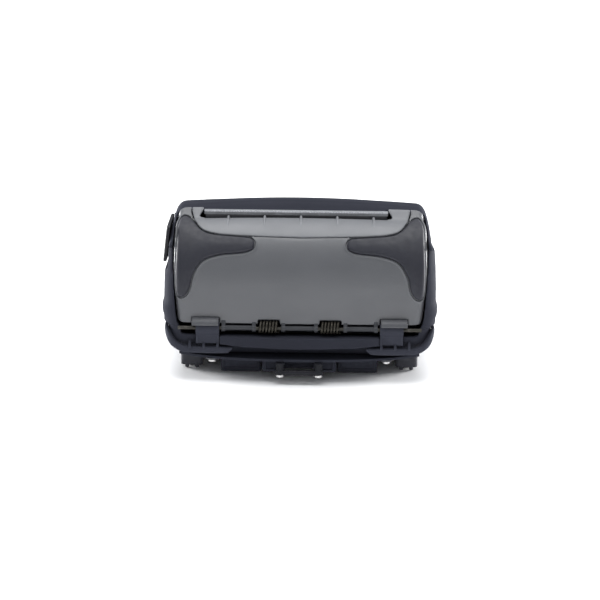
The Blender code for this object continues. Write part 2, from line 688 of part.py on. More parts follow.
PLATEN = (PLATEN_Y, PLATEN_Z)
UPPER = step_towards(PLATEN, LIFT_ANGLE, mesh_distance(PLATEN_TEETH, UPPER_TEETH))
LOWER = step_towards(UPPER, TRAIN_ANGLE, mesh_distance(UPPER_TEETH, LOWER_TEETH))
PINION = step_towards(LOWER, TRAIN_ANGLE, mesh_distance(LOWER_TEETH, PINION_TEETH))


def build_gear_train():
    upper_phase = meshed_phase(PLATEN_TEETH, LIFT_ANGLE, LIFT_ANGLE, UPPER_TEETH)
    lower_phase = meshed_phase(UPPER_TEETH, upper_phase, TRAIN_ANGLE, LOWER_TEETH)
    pinion_phase = meshed_phase(LOWER_TEETH, lower_phase, TRAIN_ANGLE, PINION_TEETH)
    gear("platen_gear", PLATEN, PLATEN_TEETH, LIFT_ANGLE, 2.3)
    gear("idler_gear_upper", UPPER, UPPER_TEETH, upper_phase, 1.8)
    gear("idler_gear_lower", LOWER, LOWER_TEETH, lower_phase, 1.8)
    gear("motor_pinion", PINION, PINION_TEETH, pinion_phase, 1.3)


def build_platen():
    shaft = add_object("platen_shaft", rod("X", -64.4, 67.4, PLATEN, 2.0), "steel", (0.0, *PLATEN))
    bevel(shaft, 0.3, 1)
    roller = add_object("platen_roller", rod("X", -PLATEN_HALF, PLATEN_HALF, PLATEN, PLATEN_RADIUS, 32), "rubber",
                        (0.0, *PLATEN))
    cut(roller, "roller_bore", rod("X", -60.0, 60.0, PLATEN, 2.3))
    for side, name in ((-1, "left"), (1, "right")):
        ends = sorted((side * 60.2, side * 62.8))
        ear = arc(PLATEN, 4.4, 150, 380, 10) + [(-28.6, 83.6), (-31.6, 84.6), (-36.0, 84.0), (-41.5, 81.0)]
        bracket = add_object(f"platen_bracket_{name}", prism("X", ear, *ends), "inner", (0.0, PIN_Y, PIN_Z))
        cut(bracket, f"ear_bore_{name}", rod("X", -80.0, 80.0, PLATEN, 2.3))


def build_latch():
    """A cross shaft with a lever outside the left wall and two hooks that stand beside the platen shaft."""
    centre = (LATCH_Y, LATCH_Z)
    shaft = add_object("latch_shaft", rod("X", -75.3, 61.0, centre, 2.0), "steel", (0.0, *centre))
    for side, name in ((-1, "left"), (1, "right")):
        ends = sorted((side * 56.2, side * 58.8))
        hook = arc(centre, 3.6, -60, 150, 8) + [(-25.0, 84.2), (-29.6, 82.0), (-29.2, 78.6), (-28.0, 76.6),
                                                 (-25.6, 76.6), (-26.0, 80.4), (-22.6, 81.4)]
        join(shaft, f"hook_{name}", prism("X", hook, *ends))
    lever = plate_on_wall((-45.0, 64.6), (-9.0, 86.4))
    add_object("latch_lever", lever, "housing", (0.0, *centre))


def plate_on_wall(low, high):
    """The latch lever: a plate outside the left wall that leans in as the wall does."""
    outline = rounded_rectangle_2d(low, high, 4.0)
    outer = [(-80.0 + (z - low[1]) * HOUSING_LEAN, y, z) for y, z in outline]
    inner = [(x + 2.0, y, z) for x, y, z in outer]
    return loft([outer, inner])


def rounded_rectangle_2d(low, high, radius, steps=4):
    middle = ((low[0] + high[0]) / 2, (low[1] + high[1]) / 2)
    half = ((high[0] - low[0]) / 2, (high[1] - low[1]) / 2)
    points = []
    for sx, sy, start in ((1, 1, 0), (-1, 1, 90), (-1, -1, 180), (1, -1, 270)):
        corner = (middle[0] + sx * (half[0] - radius), middle[1] + sy * (half[1] - radius))
        points += arc(corner, radius, start, start + 90, steps)
    return points


def build_head():
    add_object("print_head", block((-55.0, -27.1, 72.0), (55.0, -25.4, 84.0)), "ceramic")
    sink = add_object("head_heatsink", block((-55.6, -25.0, 70.0), (55.6, -19.4, 84.6)), "aluminium")
    for index in range(9):
        x = (index - 4) * 12.0
        cut(sink, f"fin_{index}", block((x - 2.0, -22.4, 66.0), (x + 2.0, -15.0, 90.0)))
    bar = block((-56.6, -29.0, 89.8), (56.8 - RIGHT_HORN_EXTRA, -26.7, 92.6))
    tear = add_object("tear_bar", bar, "aluminium")
    bevel(tear, 0.4, 1)
    for side, name in ((-1, "left"), (1, "right")):
        ends = sorted((side * 60.4, side * 62.6))
        outline = [(-24.6, 46.0), (30.0, 43.0), (30.0, 74.0), (6.0, 84.8), (-17.0, 87.4), (-24.6, 85.4)]
        plate = add_object(f"chassis_plate_{name}", prism("X", outline, *ends), "inner")
        cut(plate, f"chassis_latch_{name}", rod("X", -80.0, 80.0, (LATCH_Y, LATCH_Z), 4.4))
        if side > 0:
            cut(plate, "chassis_motor", rod("X", 50.0, 80.0, PINION, 6.2))
            for label, spot in (("upper", UPPER), ("lower", LOWER)):
                join(plate, f"post_{label}", rod("X", 61.0, GEAR_X[1] + 0.6, spot, 1.5, 16))
    motor = add_object("stepper_motor", rod("X", 38.0, 60.0, PINION, 13.0, 28), "steel")
    join(motor, "motor_shaft", rod("X", 59.0, GEAR_X[1] + 0.4, PINION, 1.0, 12))


# ---------------------------------------------------------------- media bay

def build_media_bay():
    centre = (ROLL_Y, ROLL_Z)
    outer = arc(centre, ROLL_RADIUS + 4.6, -122, 38, 16)
    inner = arc(centre, ROLL_RADIUS + 3.0, 38, -122, 16)
    cradle = add_object("media_cradle", prism("X", outer + inner, -59.4, 59.4), "inner")
    add_object("guide_rail", rod("X", -73.2, 73.2, RAIL, 1.6, 16), "steel")
    sensor = block((-6.0, -8.4, 70.6), (6.0, -3.0, 76.0))
    add_object("media_sensor", sensor, "inner")
    for side, name in ((-1, "left"), (1, "right")):
        wall = sorted((side * 55.0, side * 57.0))
        outline = arc(centre, 17.0, -52, 232, 20) + [(-31.0, 30.0), (-23.2, 28.0), (-23.2, 22.2), (-16.8, 22.2),
                                                      (-16.8, 30.0)]
        guide = add_object(f"media_guide_{name}", prism("X", outline, *wall), "inner")
        hub = sorted((side * 50.0, side * 56.0))
        join(guide, f"hub_{name}", rod("X", *hub, centre, 11.0, 24))
        cut(guide, f"hub_hollow_{name}", rod("X", *sorted((side * 49.0, side * 54.6)), centre, 9.0, 24))
        cut(guide, f"guide_bore_{name}", rod("X", -80.0, 80.0, RAIL, 1.9, 16))


# ---------------------------------------------------------------- electronics, battery and control panel

def panel_point(x, down, lift):
    """A point on the sloped control panel: down along the slope, lift out of it."""
    y = PANEL_START[0] + down * math.cos(PANEL_SLOPE) + lift * math.sin(PANEL_SLOPE)
    z = PANEL_START[1] - down * math.sin(PANEL_SLOPE) + lift * math.cos(PANEL_SLOPE)
    return x, y, z


def panel_block(low, high, bottom, top, grow=0.0):
    """A block square to the control panel, from (x, down) low to high."""
    bm = block((low[0] - grow, low[1] - grow, bottom), (high[0] + grow, high[1] + grow, top))
    for vertex in bm.verts:
        x, down, lift = vertex.co
        vertex.co = panel_point(x, down, lift)
    return bm


KEYS = (("key_power", 14.0), ("key_feed", 28.0), ("key_mode", 42.0))
KEY_DOWN = (16.0, 26.0)
WINDOW = ((-42.0, 8.0), (4.0, 38.0))
PANEL_OPENINGS = [("window", *WINDOW)] + [
    (name, (x, KEY_DOWN[0]), (x + 10.0, KEY_DOWN[1])) for name, x in KEYS]


def build_panel():
    window = add_object("lcd_window", panel_block(*WINDOW, -2.4, -0.6), "glass")
    low, high = WINDOW
    cell = panel_block((low[0] - 2, low[1] - 2), (high[0] + 2, high[1] + 2), -7.4, -4.6)
    add_object("lcd_module", cell, "inner")
    for name, x in KEYS:
        key = panel_block((x, KEY_DOWN[0]), (x + 10.0, KEY_DOWN[1]), -3.6, 0.6)
        add_object(name, key, "key")
    add_object("keypad_board", panel_block((10.0, 12.0), (56.0, 30.0), -6.6, -5.2), "board")


def build_electronics():
    add_object("main_board", block((-52.0, 6.0, 41.0), (52.0, 62.0, 42.6)), "board")
    battery = add_object("battery_pack", block((-35.6, 8.0, 18.0), (35.6, 73.1, 37.8)), "housing")
    bevel(battery, 1.2, 2)
    notch = block((-9.0, 70.4, 31.4), (9.0, 80.0, 42.0))
    cut(battery, "latch_notch", notch)
    add_object("battery_latch", block((-8.0, 70.8, 33.4), (8.0, 73.1, 37.4)), "key")
    usb = add_object("usb_socket", block((67.0, 26.0, 49.0), (76.2, 34.0, 53.0)), "steel")
    cut(usb, "usb_mouth", block((69.0, 27.0, 49.8), (80.0, 33.0, 52.2)))
    dc = add_object("dc_socket", rod("X", 67.0, 76.2, (42.0, 53.0), 3.6, 20), "inner")
    cut(dc, "dc_mouth", rod("X", 69.0, 80.0, (42.0, 53.0), 2.3, 16))
    cover = block((76.8, 22.3, 47.4), (78.6, 49.7, 59.6))
    add_object("port_cover", cover, "rubber", (78.6, 0.0, 47.4))


clear_scene()
PARTS = make_collection("label_printer")
CUTTERS = make_collection("cutters")
MATERIALS = {name: make_material(name, *look) for name, look in COLOURS.items()}
build_tub()
build_front_housing()
build_bottom()
build_strap_bar()
build_bumpers()
build_door()
build_hinge()
build_gear_train()
build_platen()
build_latch()
build_head()
build_media_bay()
build_panel()
build_electronics()
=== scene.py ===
"""Visual model of a rugged portable label printer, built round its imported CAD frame.

Shapes are written in millimetres in the frame's own axes and become metres when a mesh is made: X is
across, +Y runs from the media door at the rear to the control panel at the front, Z is up.
"""

import math

import bmesh
import bpy
import numpy as np
from mathutils import Matrix, Vector
from mathutils.geometry import delaunay_2d_cdt


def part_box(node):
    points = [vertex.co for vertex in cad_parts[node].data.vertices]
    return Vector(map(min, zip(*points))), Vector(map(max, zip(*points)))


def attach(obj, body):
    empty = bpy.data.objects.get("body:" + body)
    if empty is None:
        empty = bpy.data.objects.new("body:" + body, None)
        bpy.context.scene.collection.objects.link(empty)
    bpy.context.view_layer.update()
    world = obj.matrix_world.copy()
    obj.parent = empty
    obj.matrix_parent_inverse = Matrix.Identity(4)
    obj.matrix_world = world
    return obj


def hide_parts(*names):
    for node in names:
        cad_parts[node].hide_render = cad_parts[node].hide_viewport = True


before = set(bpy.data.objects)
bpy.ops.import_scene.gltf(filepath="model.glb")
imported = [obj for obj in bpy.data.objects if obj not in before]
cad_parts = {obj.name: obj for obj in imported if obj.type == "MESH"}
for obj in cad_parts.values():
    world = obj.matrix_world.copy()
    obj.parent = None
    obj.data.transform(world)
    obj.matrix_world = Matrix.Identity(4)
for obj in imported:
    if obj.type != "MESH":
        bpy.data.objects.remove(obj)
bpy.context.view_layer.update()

MM = 0.001


def box_mm(node):
    """A CAD node's lowest and highest corners, in millimetres."""
    low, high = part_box(node)
    return tuple(low / MM), tuple(high / MM)


# ---------------------------------------------------------------- materials

class Look:
    """A material under construction: its node tree, its shader and its object coordinates."""

    def __init__(self, name, metallic=0.0):
        self.material = bpy.data.materials.new(name)
        self.material.use_nodes = True
        self.tree = self.material.node_tree
        self.shader = self.tree.nodes["Principled BSDF"]
        self.shader.inputs["Metallic"].default_value = metallic
        self.place = self.node("ShaderNodeTexCoord", {}, "Object")

    def put(self, socket, value):
        """Sets a socket to a number or colour, or links it to another node's output."""
        if isinstance(value, bpy.types.NodeSocket):
            self.tree.links.new(value, socket)
        elif isinstance(value, tuple) and len(value) == 3 and len(socket.default_value) == 4:
            socket.default_value = (*value, 1.0)
        else:
            socket.default_value = value

    def node(self, kind, inputs, output, **settings):
        """Adds a node, gives it its settings and inputs, and returns one of its outputs."""
        made = self.tree.nodes.new(kind)
        for key, value in settings.items():
            setattr(made, key, value)
        for key, value in inputs.items():
            self.put(made.inputs[key], value)
        return made.outputs[output]

    def stretched(self, scale):
        return self.node("ShaderNodeMapping", {"Vector": self.place, "Scale": scale}, "Vector")

    def noise(self, scale, detail=3.0, rough=0.5, place=None):
        inputs = {"Vector": place or self.place, "Scale": scale, "Detail": detail, "Roughness": rough}
        return self.node("ShaderNodeTexNoise", inputs, "Fac")

    def cells(self, scale, feature="F1"):
        inputs = {"Vector": self.place, "Scale": scale}
        return self.node("ShaderNodeTexVoronoi", inputs, "Distance", feature=feature)

    def spread(self, value, low, high, to_low, to_high):
        inputs = {"Value": value, "From Min": low, "From Max": high, "To Min": to_low, "To Max": to_high}
        return self.node("ShaderNodeMapRange", inputs, "Result")

    def times(self, a, b):
        return self.node("ShaderNodeMath", {0: a, 1: b}, 0, operation="MULTIPLY")

    def mix(self, share, a, b):
        # A mix node's colour sockets come after those for numbers and vectors.
        return self.node("ShaderNodeMix", {0: share, 6: a, 7: b}, 2, data_type="RGBA")

    def bump(self, height, distance):
        return self.node("ShaderNodeBump", {"Height": height, "Distance": distance}, "Normal")

    def finish(self, colour, roughness, normal=None):
        self.put(self.shader.inputs["Base Color"], colour)
        self.put(self.shader.inputs["Roughness"], roughness)
        if normal is not None:
            self.put(self.shader.inputs["Normal"], normal)
        return self.material


def scaled(colour, factor):
    return tuple(min(channel * factor, 1.0) for channel in colour)


def worn_edges(look, amount):
    """A mask of the raised edges, broken up so that wear looks uneven."""
    pointed = look.node("ShaderNodeNewGeometry", {}, "Pointiness")
    edge = look.spread(pointed, 0.52, 0.60, 0.0, amount)
    return look.times(edge, look.spread(look.noise(160.0, 4.0, 0.6), 0.35, 0.65, 0.25, 1.0))


def moulded(name, colour, roughness, grain=2400.0, depth=0.00003, mottle=0.08, wear=0.5, specular=0.5):
    """Injection-moulded plastic: a fine etched grain, faint flow mottling and polished edges."""
    look = Look(name)
    clouds = look.spread(look.noise(22.0, 4.0, 0.6), 0.3, 0.7, 0.0, 1.0)
    base = look.mix(clouds, scaled(colour, 1 - mottle), scaled(colour, 1 + mottle))
    specks = look.spread(look.noise(1500.0, 2.0, 0.7), 0.62, 0.72, 0.0, 0.25)
    base = look.mix(specks, base, scaled(colour, 1.5))
    base = look.mix(worn_edges(look, wear), base, scaled(colour, 2.1))
    smears = look.noise(60.0, 5.0, 0.65, look.stretched((1.0, 0.6, 1.8)))
    rough = look.spread(smears, 0.3, 0.7, roughness - 0.07, roughness + 0.08)
    etched = look.bump(look.noise(grain, 2.0, 0.6), depth)
    look.shader.inputs["Specular IOR Level"].default_value = specular
    return look.finish(base, rough, etched)


def soft_touch(name, colour, roughness, sheen=0.25):
    """Elastomer: matt, slightly dusty, with a coarse skin."""
    look = Look(name)
    dust = look.spread(look.noise(45.0, 5.0, 0.65), 0.42, 0.75, 0.0, 0.35)
    base = look.mix(dust, colour, scaled(colour, 1.5))
    base = look.mix(worn_edges(look, 0.35), base, scaled(colour, 1.8))
    rough = look.spread(look.noise(300.0, 3.0), 0.3, 0.7, roughness - 0.06, roughness + 0.06)
    skin = look.bump(look.noise(1300.0, 3.0, 0.6), 0.00006)
    look.shader.inputs["Sheen Weight"].default_value = sheen
    look.shader.inputs["Sheen Roughness"].default_value = 0.5
    return look.finish(base, rough, skin)


def metal(name, colour, roughness, brushed=(1.0, 1.0, 1.0), stain=(0.35, 0.33, 0.30)):
    """Bare or plated metal: fine tool lines and patches of tarnish."""
    look = Look(name, metallic=1.0)
    lines = look.noise(900.0, 3.0, 0.6, look.stretched(brushed))
    tarnish = look.spread(look.noise(130.0, 4.0, 0.65), 0.55, 0.8, 0.0, 0.5)
    base = look.mix(tarnish, look.mix(lines, scaled(colour, 0.85), scaled(colour, 1.08)), stain)
    rough = look.spread(lines, 0.3, 0.7, roughness - 0.08, roughness + 0.12)
    return look.finish(base, rough, look.bump(lines, 0.00002))


def circuit(name):
    """Green solder mask over copper tracks, with tinned pads."""
    colour = (0.012, 0.105, 0.045)
    look = Look(name)
    tracks = look.spread(look.cells(260.0, "DISTANCE_TO_EDGE"), 0.03, 0.06, 1.0, 0.0)
    base = look.mix(look.times(tracks, 0.5), colour, (0.05, 0.24, 0.09))
    pads = look.spread(look.cells(420.0), 0.16, 0.2, 1.0, 0.0)
    chosen = look.times(pads, look.spread(look.noise(55.0, 2.0), 0.56, 0.6, 0.0, 1.0))
    base = look.mix(chosen, base, (0.62, 0.60, 0.55))
    return look.finish(base, look.spread(chosen, 0.0, 1.0, 0.38, 0.25), look.bump(tracks, 0.00004))


def tinted(name, colour):
    """The display window: dark clear plastic with faint wipe marks."""
    look = Look(name)
    wipes = look.noise(90.0, 4.0, 0.6, look.stretched((0.4, 1.6, 1.0)))
    look.shader.inputs["IOR"].default_value = 1.49
    look.shader.inputs["Alpha"].default_value = 0.42
    look.shader.inputs["Coat Weight"].default_value = 0.6
    base = look.mix(wipes, scaled(colour, 0.8), scaled(colour, 1.3))
    return look.finish(base, look.spread(wipes, 0.3, 0.7, 0.03, 0.12))


LOOKS = {
    "housing": moulded("housing_plastic", (0.027, 0.0285, 0.038), 0.62, wear=0.3, specular=0.03),
    "guard": moulded("guard_plastic", (0.037, 0.039, 0.051), 0.62, wear=0.3, specular=0.03),
    "door": moulded("door_plastic", (0.092, 0.095, 0.103), 0.42, mottle=0.05, wear=0.6, specular=0.5),
    # The bezel is the door's plastic painted lighter: painted light standing for the stronger overhead light
    # on its upturned top. Its ribs and the tear carrier share it.
    "bezel": moulded("bezel_plastic_painted_lighter", (0.160, 0.165, 0.176), 0.46, mottle=0.05, wear=0.6, specular=0.45),
    "pad": soft_touch("pad_elastomer", (0.0100, 0.0106, 0.0185), 0.60, 0.0),
    "rubber": soft_touch("foot_rubber", (0.028, 0.029, 0.038), 0.72, 0.08),
    "steel": metal("spring_steel", (0.33, 0.31, 0.27), 0.40),
    # Pin metal painted near black: painted shade for the hinge pin, which sits in shadow under the door. The
    # latch shaft shares it.
    "pin": metal("pin_metal_painted_shade", (0.060, 0.058, 0.052), 0.5),
    # Spring wire painted dark: painted shade for the coils, which sit in shadow under the door's foot.
    "spring": metal("spring_wire_painted_shade", (0.062, 0.057, 0.048), 0.55),
    "leaf": moulded("hinge_leaf_grey", (0.036, 0.038, 0.043), 0.5, mottle=0.05, wear=0.3, specular=0.3),
    "cap": moulded("hinge_grey", (0.070, 0.072, 0.079), 0.5, mottle=0.05, wear=0.3, specular=0.3),
    "zinc": metal("zinc_plate", (0.62, 0.615, 0.61), 0.34),
    "painted": moulded("black_enamel", (0.010, 0.0105, 0.014), 0.55, 900.0, 0.00002, 0.06, 0.5, 0.2),
    "lever": moulded("lever_plastic", (0.010, 0.010, 0.013), 0.50, wear=0.35, specular=0.25),
    "aluminium": metal("anodised_aluminium", (0.66, 0.67, 0.70), 0.62, (0.05, 1.0, 1.0), (0.5, 0.5, 0.5)),
    "inner": moulded("inner_plastic", (0.034, 0.035, 0.040), 0.58, wear=0.2, specular=0.3),
    "board": circuit("solder_mask"),
    "ceramic": moulded("glazed_ceramic", (0.30, 0.28, 0.25), 0.22, 1200.0, 0.00001, 0.04, 0.1),
    "gear": moulded("acetal", (0.66, 0.64, 0.58), 0.40, 1600.0, 0.00001, 0.03, 0.1),
    "glass": tinted("display_window", (0.018, 0.024, 0.030)),
    "key": moulded("key_rubber", (0.15, 0.155, 0.17), 0.60, wear=0.3, specular=0.3),
    "shadow": moulded("recess_plastic", (0.012, 0.012, 0.016), 0.70, wear=0.0),
    "mark": moulded("marking_ink", (0.62, 0.64, 0.67), 0.55, 900.0, 0.00001, 0.05, 0.0),
    "screen": moulded("liquid_crystal", (0.26, 0.31, 0.22), 0.30, 3000.0, 0.000005, 0.03, 0.0),
    "lens": moulded("status_lens", (0.10, 0.42, 0.12), 0.20, 2000.0, 0.000005, 0.05, 0.0),
}


# ---------------------------------------------------------------- mesh helpers

def block(low, high):
    bm = bmesh.new()
    bmesh.ops.create_cube(bm, size=1.0)
    for vertex in bm.verts:
        vertex.co = [(a + b) / 2 + c * (b - a) for a, b, c in zip(low, high, vertex.co)]
    return bm


def placed(axis, a, b, depth):
    """The point at a depth along the axis, with its other two coordinates in their usual order."""
    return {"X": (depth, a, b), "Y": (a, depth, b), "Z": (a, b, depth)}[axis]


def turned(axis, centre, rings, sides=32):
    """A solid of revolution along X, Y or Z with flat ends. rings is (depth, radius) rows."""
    angles = [2 * math.pi * k / sides for k in range(sides)]
    return loft([[placed(axis, centre[0] + radius * math.cos(a), centre[1] + radius * math.sin(a), depth)
                  for a in angles] for depth, radius in rings])


def prism(axis, outline, start, end):
    """A straight solid with the given outline, from start to end along X, Y or Z."""
    return loft([[placed(axis, a, b, depth) for a, b in outline] for depth in (start, end)])


def loft(rings):
    """A closed solid through rings of equal count, with a flat face at each end."""
    bm = bmesh.new()
    rows = [[bm.verts.new(point) for point in ring] for ring in rings]
    for low, high in zip(rows, rows[1:]):
        for index in range(len(low)):
            after = (index + 1) % len(low)
            bm.faces.new((low[index], low[after], high[after], high[index]))
    bm.faces.new(rows[0])
    bm.faces.new(rows[-1])
    return bm


def spaced(start, end, count):
    """Evenly spaced values from start to end, in the given number of steps."""
    return [start + (end - start) * step / count for step in range(count + 1)]


def arc(centre, radius, start, end, steps):
    """Points of a circle between two angles in degrees."""
    angles = [math.radians(angle) for angle in spaced(start, end, steps)]
    return [(centre[0] + radius * math.cos(a), centre[1] + radius * math.sin(a)) for a in angles]


def grown(low, high, margin):
    """The two corners of a rectangle, moved outwards by the margin."""
    return tuple(v - margin for v in low), tuple(v + margin for v in high)


def rounded_rectangle(low, high, radius, steps=6):
    left, right = low[0] + radius, high[0] - radius
    bottom, top = low[1] + radius, high[1] - radius
    centres = ((right, top), (left, top), (left, bottom), (right, bottom))
    return [point for index, centre in enumerate(centres)
            for point in arc(centre, radius, 90 * index, 90 * index + 90, steps)]


def curve(points, per_span=4, closed=False):
    """A Catmull-Rom curve through the points, of any dimension."""
    count = len(points)
    made = []
    for index in range(count if closed else count - 1):
        near = range(index - 1, index + 3)
        near = [k % count if closed else min(max(k, 0), count - 1) for k in near]
        p0, p1, p2, p3 = (np.array(points[k], float) for k in near)
        for step in range(per_span):
            t = step / per_span
            made.append(tuple(0.5 * (2 * p1 + (p2 - p0) * t + (2 * p0 - 5 * p1 + 4 * p2 - p3) * t ** 2
                                     + (3 * p1 - p0 - 3 * p2 + p3) * t ** 3)))
    if not closed:
        made.append(tuple(float(v) for v in points[-1]))
    return made


def interpolate(table, value):
    """The rest of the table's row at this value of its first column."""
    for low, high in zip(table, table[1:]):
        if value <= high[0]:
            t = max((value - low[0]) / (high[0] - low[0]), 0.0)
            return [a + (b - a) * t for a, b in zip(low[1:], high[1:])]
    return list(table[-1][1:])


def softened(table, value, reach):
    """interpolate, averaged over a short span so that steps in the table come out rounded."""
    rows = [interpolate(table, value + reach * share) for share in (-1.0, -0.5, 0.0, 0.5, 1.0)]
    return [sum(column) / len(rows) for column in zip(*rows)]


def smoothstep(value, low, high):
    t = min(max((value - low) / (high - low), 0.0), 1.0)
    return t * t * (3 - 2 * t)


def tube(route, radius, sides):
    """A round wire along the route, with its sections kept from twisting."""
    points = [Vector(point) for point in route]
    rings = []
    side = None
    for index, point in enumerate(points):
        ahead = (points[min(index + 1, len(points) - 1)] - points[max(index - 1, 0)]).normalized()
        across = ahead.orthogonal() if side is None else side - ahead * side.dot(ahead)
        side = across.normalized()
        other = ahead.cross(side)
        rings.append([tuple(point + side * radius * math.cos(2 * math.pi * k / sides)
                            + other * radius * math.sin(2 * math.pi * k / sides)) for k in range(sides)])
    return loft(rings)


def merged(*parts):
    """Several closed bmeshes in one, side by side."""
    made = bmesh.new()
    for part in parts:
        held = bpy.data.meshes.new("held")
        part.to_mesh(held)
        part.free()
        made.from_mesh(held)
        bpy.data.meshes.remove(held)
    return made


def to_object(name, bm):
    """An object in the scene, in metres, made from a bmesh in millimetres."""
    bmesh.ops.scale(bm, verts=bm.verts, vec=(MM, MM, MM))
    bmesh.ops.recalc_face_normals(bm, faces=bm.faces)
    mesh = bpy.data.meshes.new(name)
    bm.to_mesh(mesh)
    bm.free()
    obj = bpy.data.objects.new(name, mesh)
    bpy.context.scene.collection.objects.link(obj)
    return obj


def settle(obj, helpers=()):
    """Applies the modifiers and removes the helper objects that they used."""
    graph = bpy.context.evaluated_depsgraph_get()
    mesh = bpy.data.meshes.new_from_object(obj.evaluated_get(graph))
    obj.modifiers.clear()
    old = obj.data
    obj.data = mesh
    bpy.data.meshes.remove(old)
    for helper in helpers:
        bpy.data.objects.remove(helper, do_unlink=True)


def taken(obj):
    """Takes the mesh of a helper object back as a bmesh in millimetres."""
    made = bmesh.new()
    made.from_mesh(obj.data)
    bmesh.ops.scale(made, verts=made.verts, vec=(1 / MM,) * 3)
    bpy.data.objects.remove(obj, do_unlink=True)
    return made


def add_bevel(obj, width, segments=3, angle=38.0):
    modifier = obj.modifiers.new("Bevel", "BEVEL")
    modifier.width = width * MM
    modifier.segments = segments
    modifier.limit_method = "ANGLE"
    modifier.angle_limit = math.radians(angle)


def cut_and_join(obj, cuts=(), joins=()):
    """Takes the cuts from the object, then adds the joins to it."""
    helpers = []
    for operation, shapes in (("DIFFERENCE", cuts), ("UNION", joins)):
        for shape in shapes:
            helper = to_object("helper", shape)
            modifier = obj.modifiers.new("Boolean", "BOOLEAN")
            modifier.operation = operation
            modifier.object = helper
            modifier.solver = "EXACT"
            helpers.append(helper)
    if helpers:
        settle(obj, helpers)


# How melt works: the size of its voxels, its rounds of smoothing and the share of faces it keeps
VOXEL, SMOOTHING, KEPT_FACES = ((0.62, 3, 0.22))


def melt(obj):
    """Rounds every edge as a mould does: an even remesh, a little smoothing, then fewer faces."""
    remesh = obj.modifiers.new("Remesh", "REMESH")
    remesh.mode = "VOXEL"
    remesh.voxel_size = VOXEL * MM
    smooth = obj.modifiers.new("Smooth", "SMOOTH")
    smooth.factor = 0.5
    smooth.iterations = SMOOTHING
    thin = obj.modifiers.new("Thin", "DECIMATE")
    thin.ratio = KEPT_FACES
    settle(obj)


# The looks that share a name with one of the frame's material slots
FRAME_SLOTS = ("housing", "door", "bezel", "pad", "rubber", "steel", "aluminium", "inner", "board", "ceramic",
               "gear", "glass", "key")
MELTED_SHARP = 60.0


def piece(name, bm, look, body, slot=None, replaces=(), cuts=(), joins=(), bevel=0.0, segments=3, sharp=38.0,
          melted=False):
    """Makes a finished visual piece that rides on a CAD body and stands for the given CAD nodes."""
    obj = to_object(name, bm)
    cut_and_join(obj, cuts, joins)
    if melted:
        melt(obj)
        sharp = MELTED_SHARP
    if bevel:
        add_bevel(obj, bevel, segments)
        settle(obj)
    obj.data.shade_smooth()
    obj.data.set_sharp_from_angle(angle=math.radians(sharp))
    obj.data.materials.clear()
    obj.data.materials.append(LOOKS[look])
    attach(obj, body)
    if replaces:
        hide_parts(*replaces)
    if slot is None and look in FRAME_SLOTS:
        slot = look


# ---------------------------------------------------------------- tub

SIDES = ((-1, "left"), (1, "right"))
# Past every surface of the body, for shapes that only cut
FAR = 90
CUT_TOP = 110
SEAM_Z = 70
SEAM_SLOPE = -0.1
TUB_BOTTOM = 14.5
TUB_TOP = 78
WALL = 2.6
GAP = 0.3
BAY_FRONT = -26.2
HOUSING_HALF = 77.3
HOUSING_LEAN = math.tan(math.radians(6.3))
LEAN_START_Z = 65
HOUSING_CORNER = 6.5
PIN_Y = -64
PIN_Z = 31
TAB_X = 52.9
TAB_HALF = 6.7
CAP_SPAN = (46.6, 61.8)
SPRING_X = 17.7
LUGS = (-43.8, -26.3, -9.4, 9.4, 26.3, 43.8)

# (height, half-width) of the door opening
BAY = (
    (27, 68), (30, 68.4), (31.6, 69.4), (34, 70.7), (38, 71.5), (46, 72.2), (58, 72.9),
    (66, 73.4), (76, 73.8), (84, 73.4), (90, 72.7), (104, 72.4),
)

# (height, half-width, rear y, front y, corner radius)
TUB_SECTIONS = (
    (14.5, 70, -58, 64, 10), (19.5, 74, -60.5, 68, 11), (22, 76.2, -63.2, 70, 12),
    (31, 76.4, -63.4, 71.6, 12), (32, 79, -63.4, 72, 12), (36, 79, -63.2, 72, 12),
    (38, 79.9, -63, 72, 12), (43, 79.9, -62.4, 72, 12), (45, 79, -62.2, 72, 12),
    (54, 78.9, -60.6, 72, 12), (65, 78.5, -58, 72, 12), (78, 77.8, -50.2, 72, 12),
)


def seam_height(y):
    return SEAM_Z + SEAM_SLOPE * y


def side_block(side, near, far, low, high):
    """A block on one side of the middle, between two distances from it, with its (y, z) corners."""
    start, end = sorted((side * near, side * far))
    return block((start, *low), (end, *high))


def door_bay(front):
    """The opening that the door closes, as a cutter that ends at the given y."""
    outline = [(x, z) for z, x in BAY] + [(-x, z) for z, x in reversed(BAY)]
    return prism("Y", outline, -95, front)


def tub_solid(inset, bottom, top, pitch=1.6):
    """The tub's outer form between two heights, moved in by the inset."""
    rings = []
    for z in spaced(bottom, top, max(int((top - bottom) / pitch), 2)):
        half, rear, front, radius = softened(TUB_SECTIONS, max(z, TUB_SECTIONS[0][0]), 0.5)
        outline = rounded_rectangle(*grown((-half, rear), (half, front), -inset), radius - inset, 8)
        rings.append([(x, y, z) for x, y in outline])
    return loft(rings)


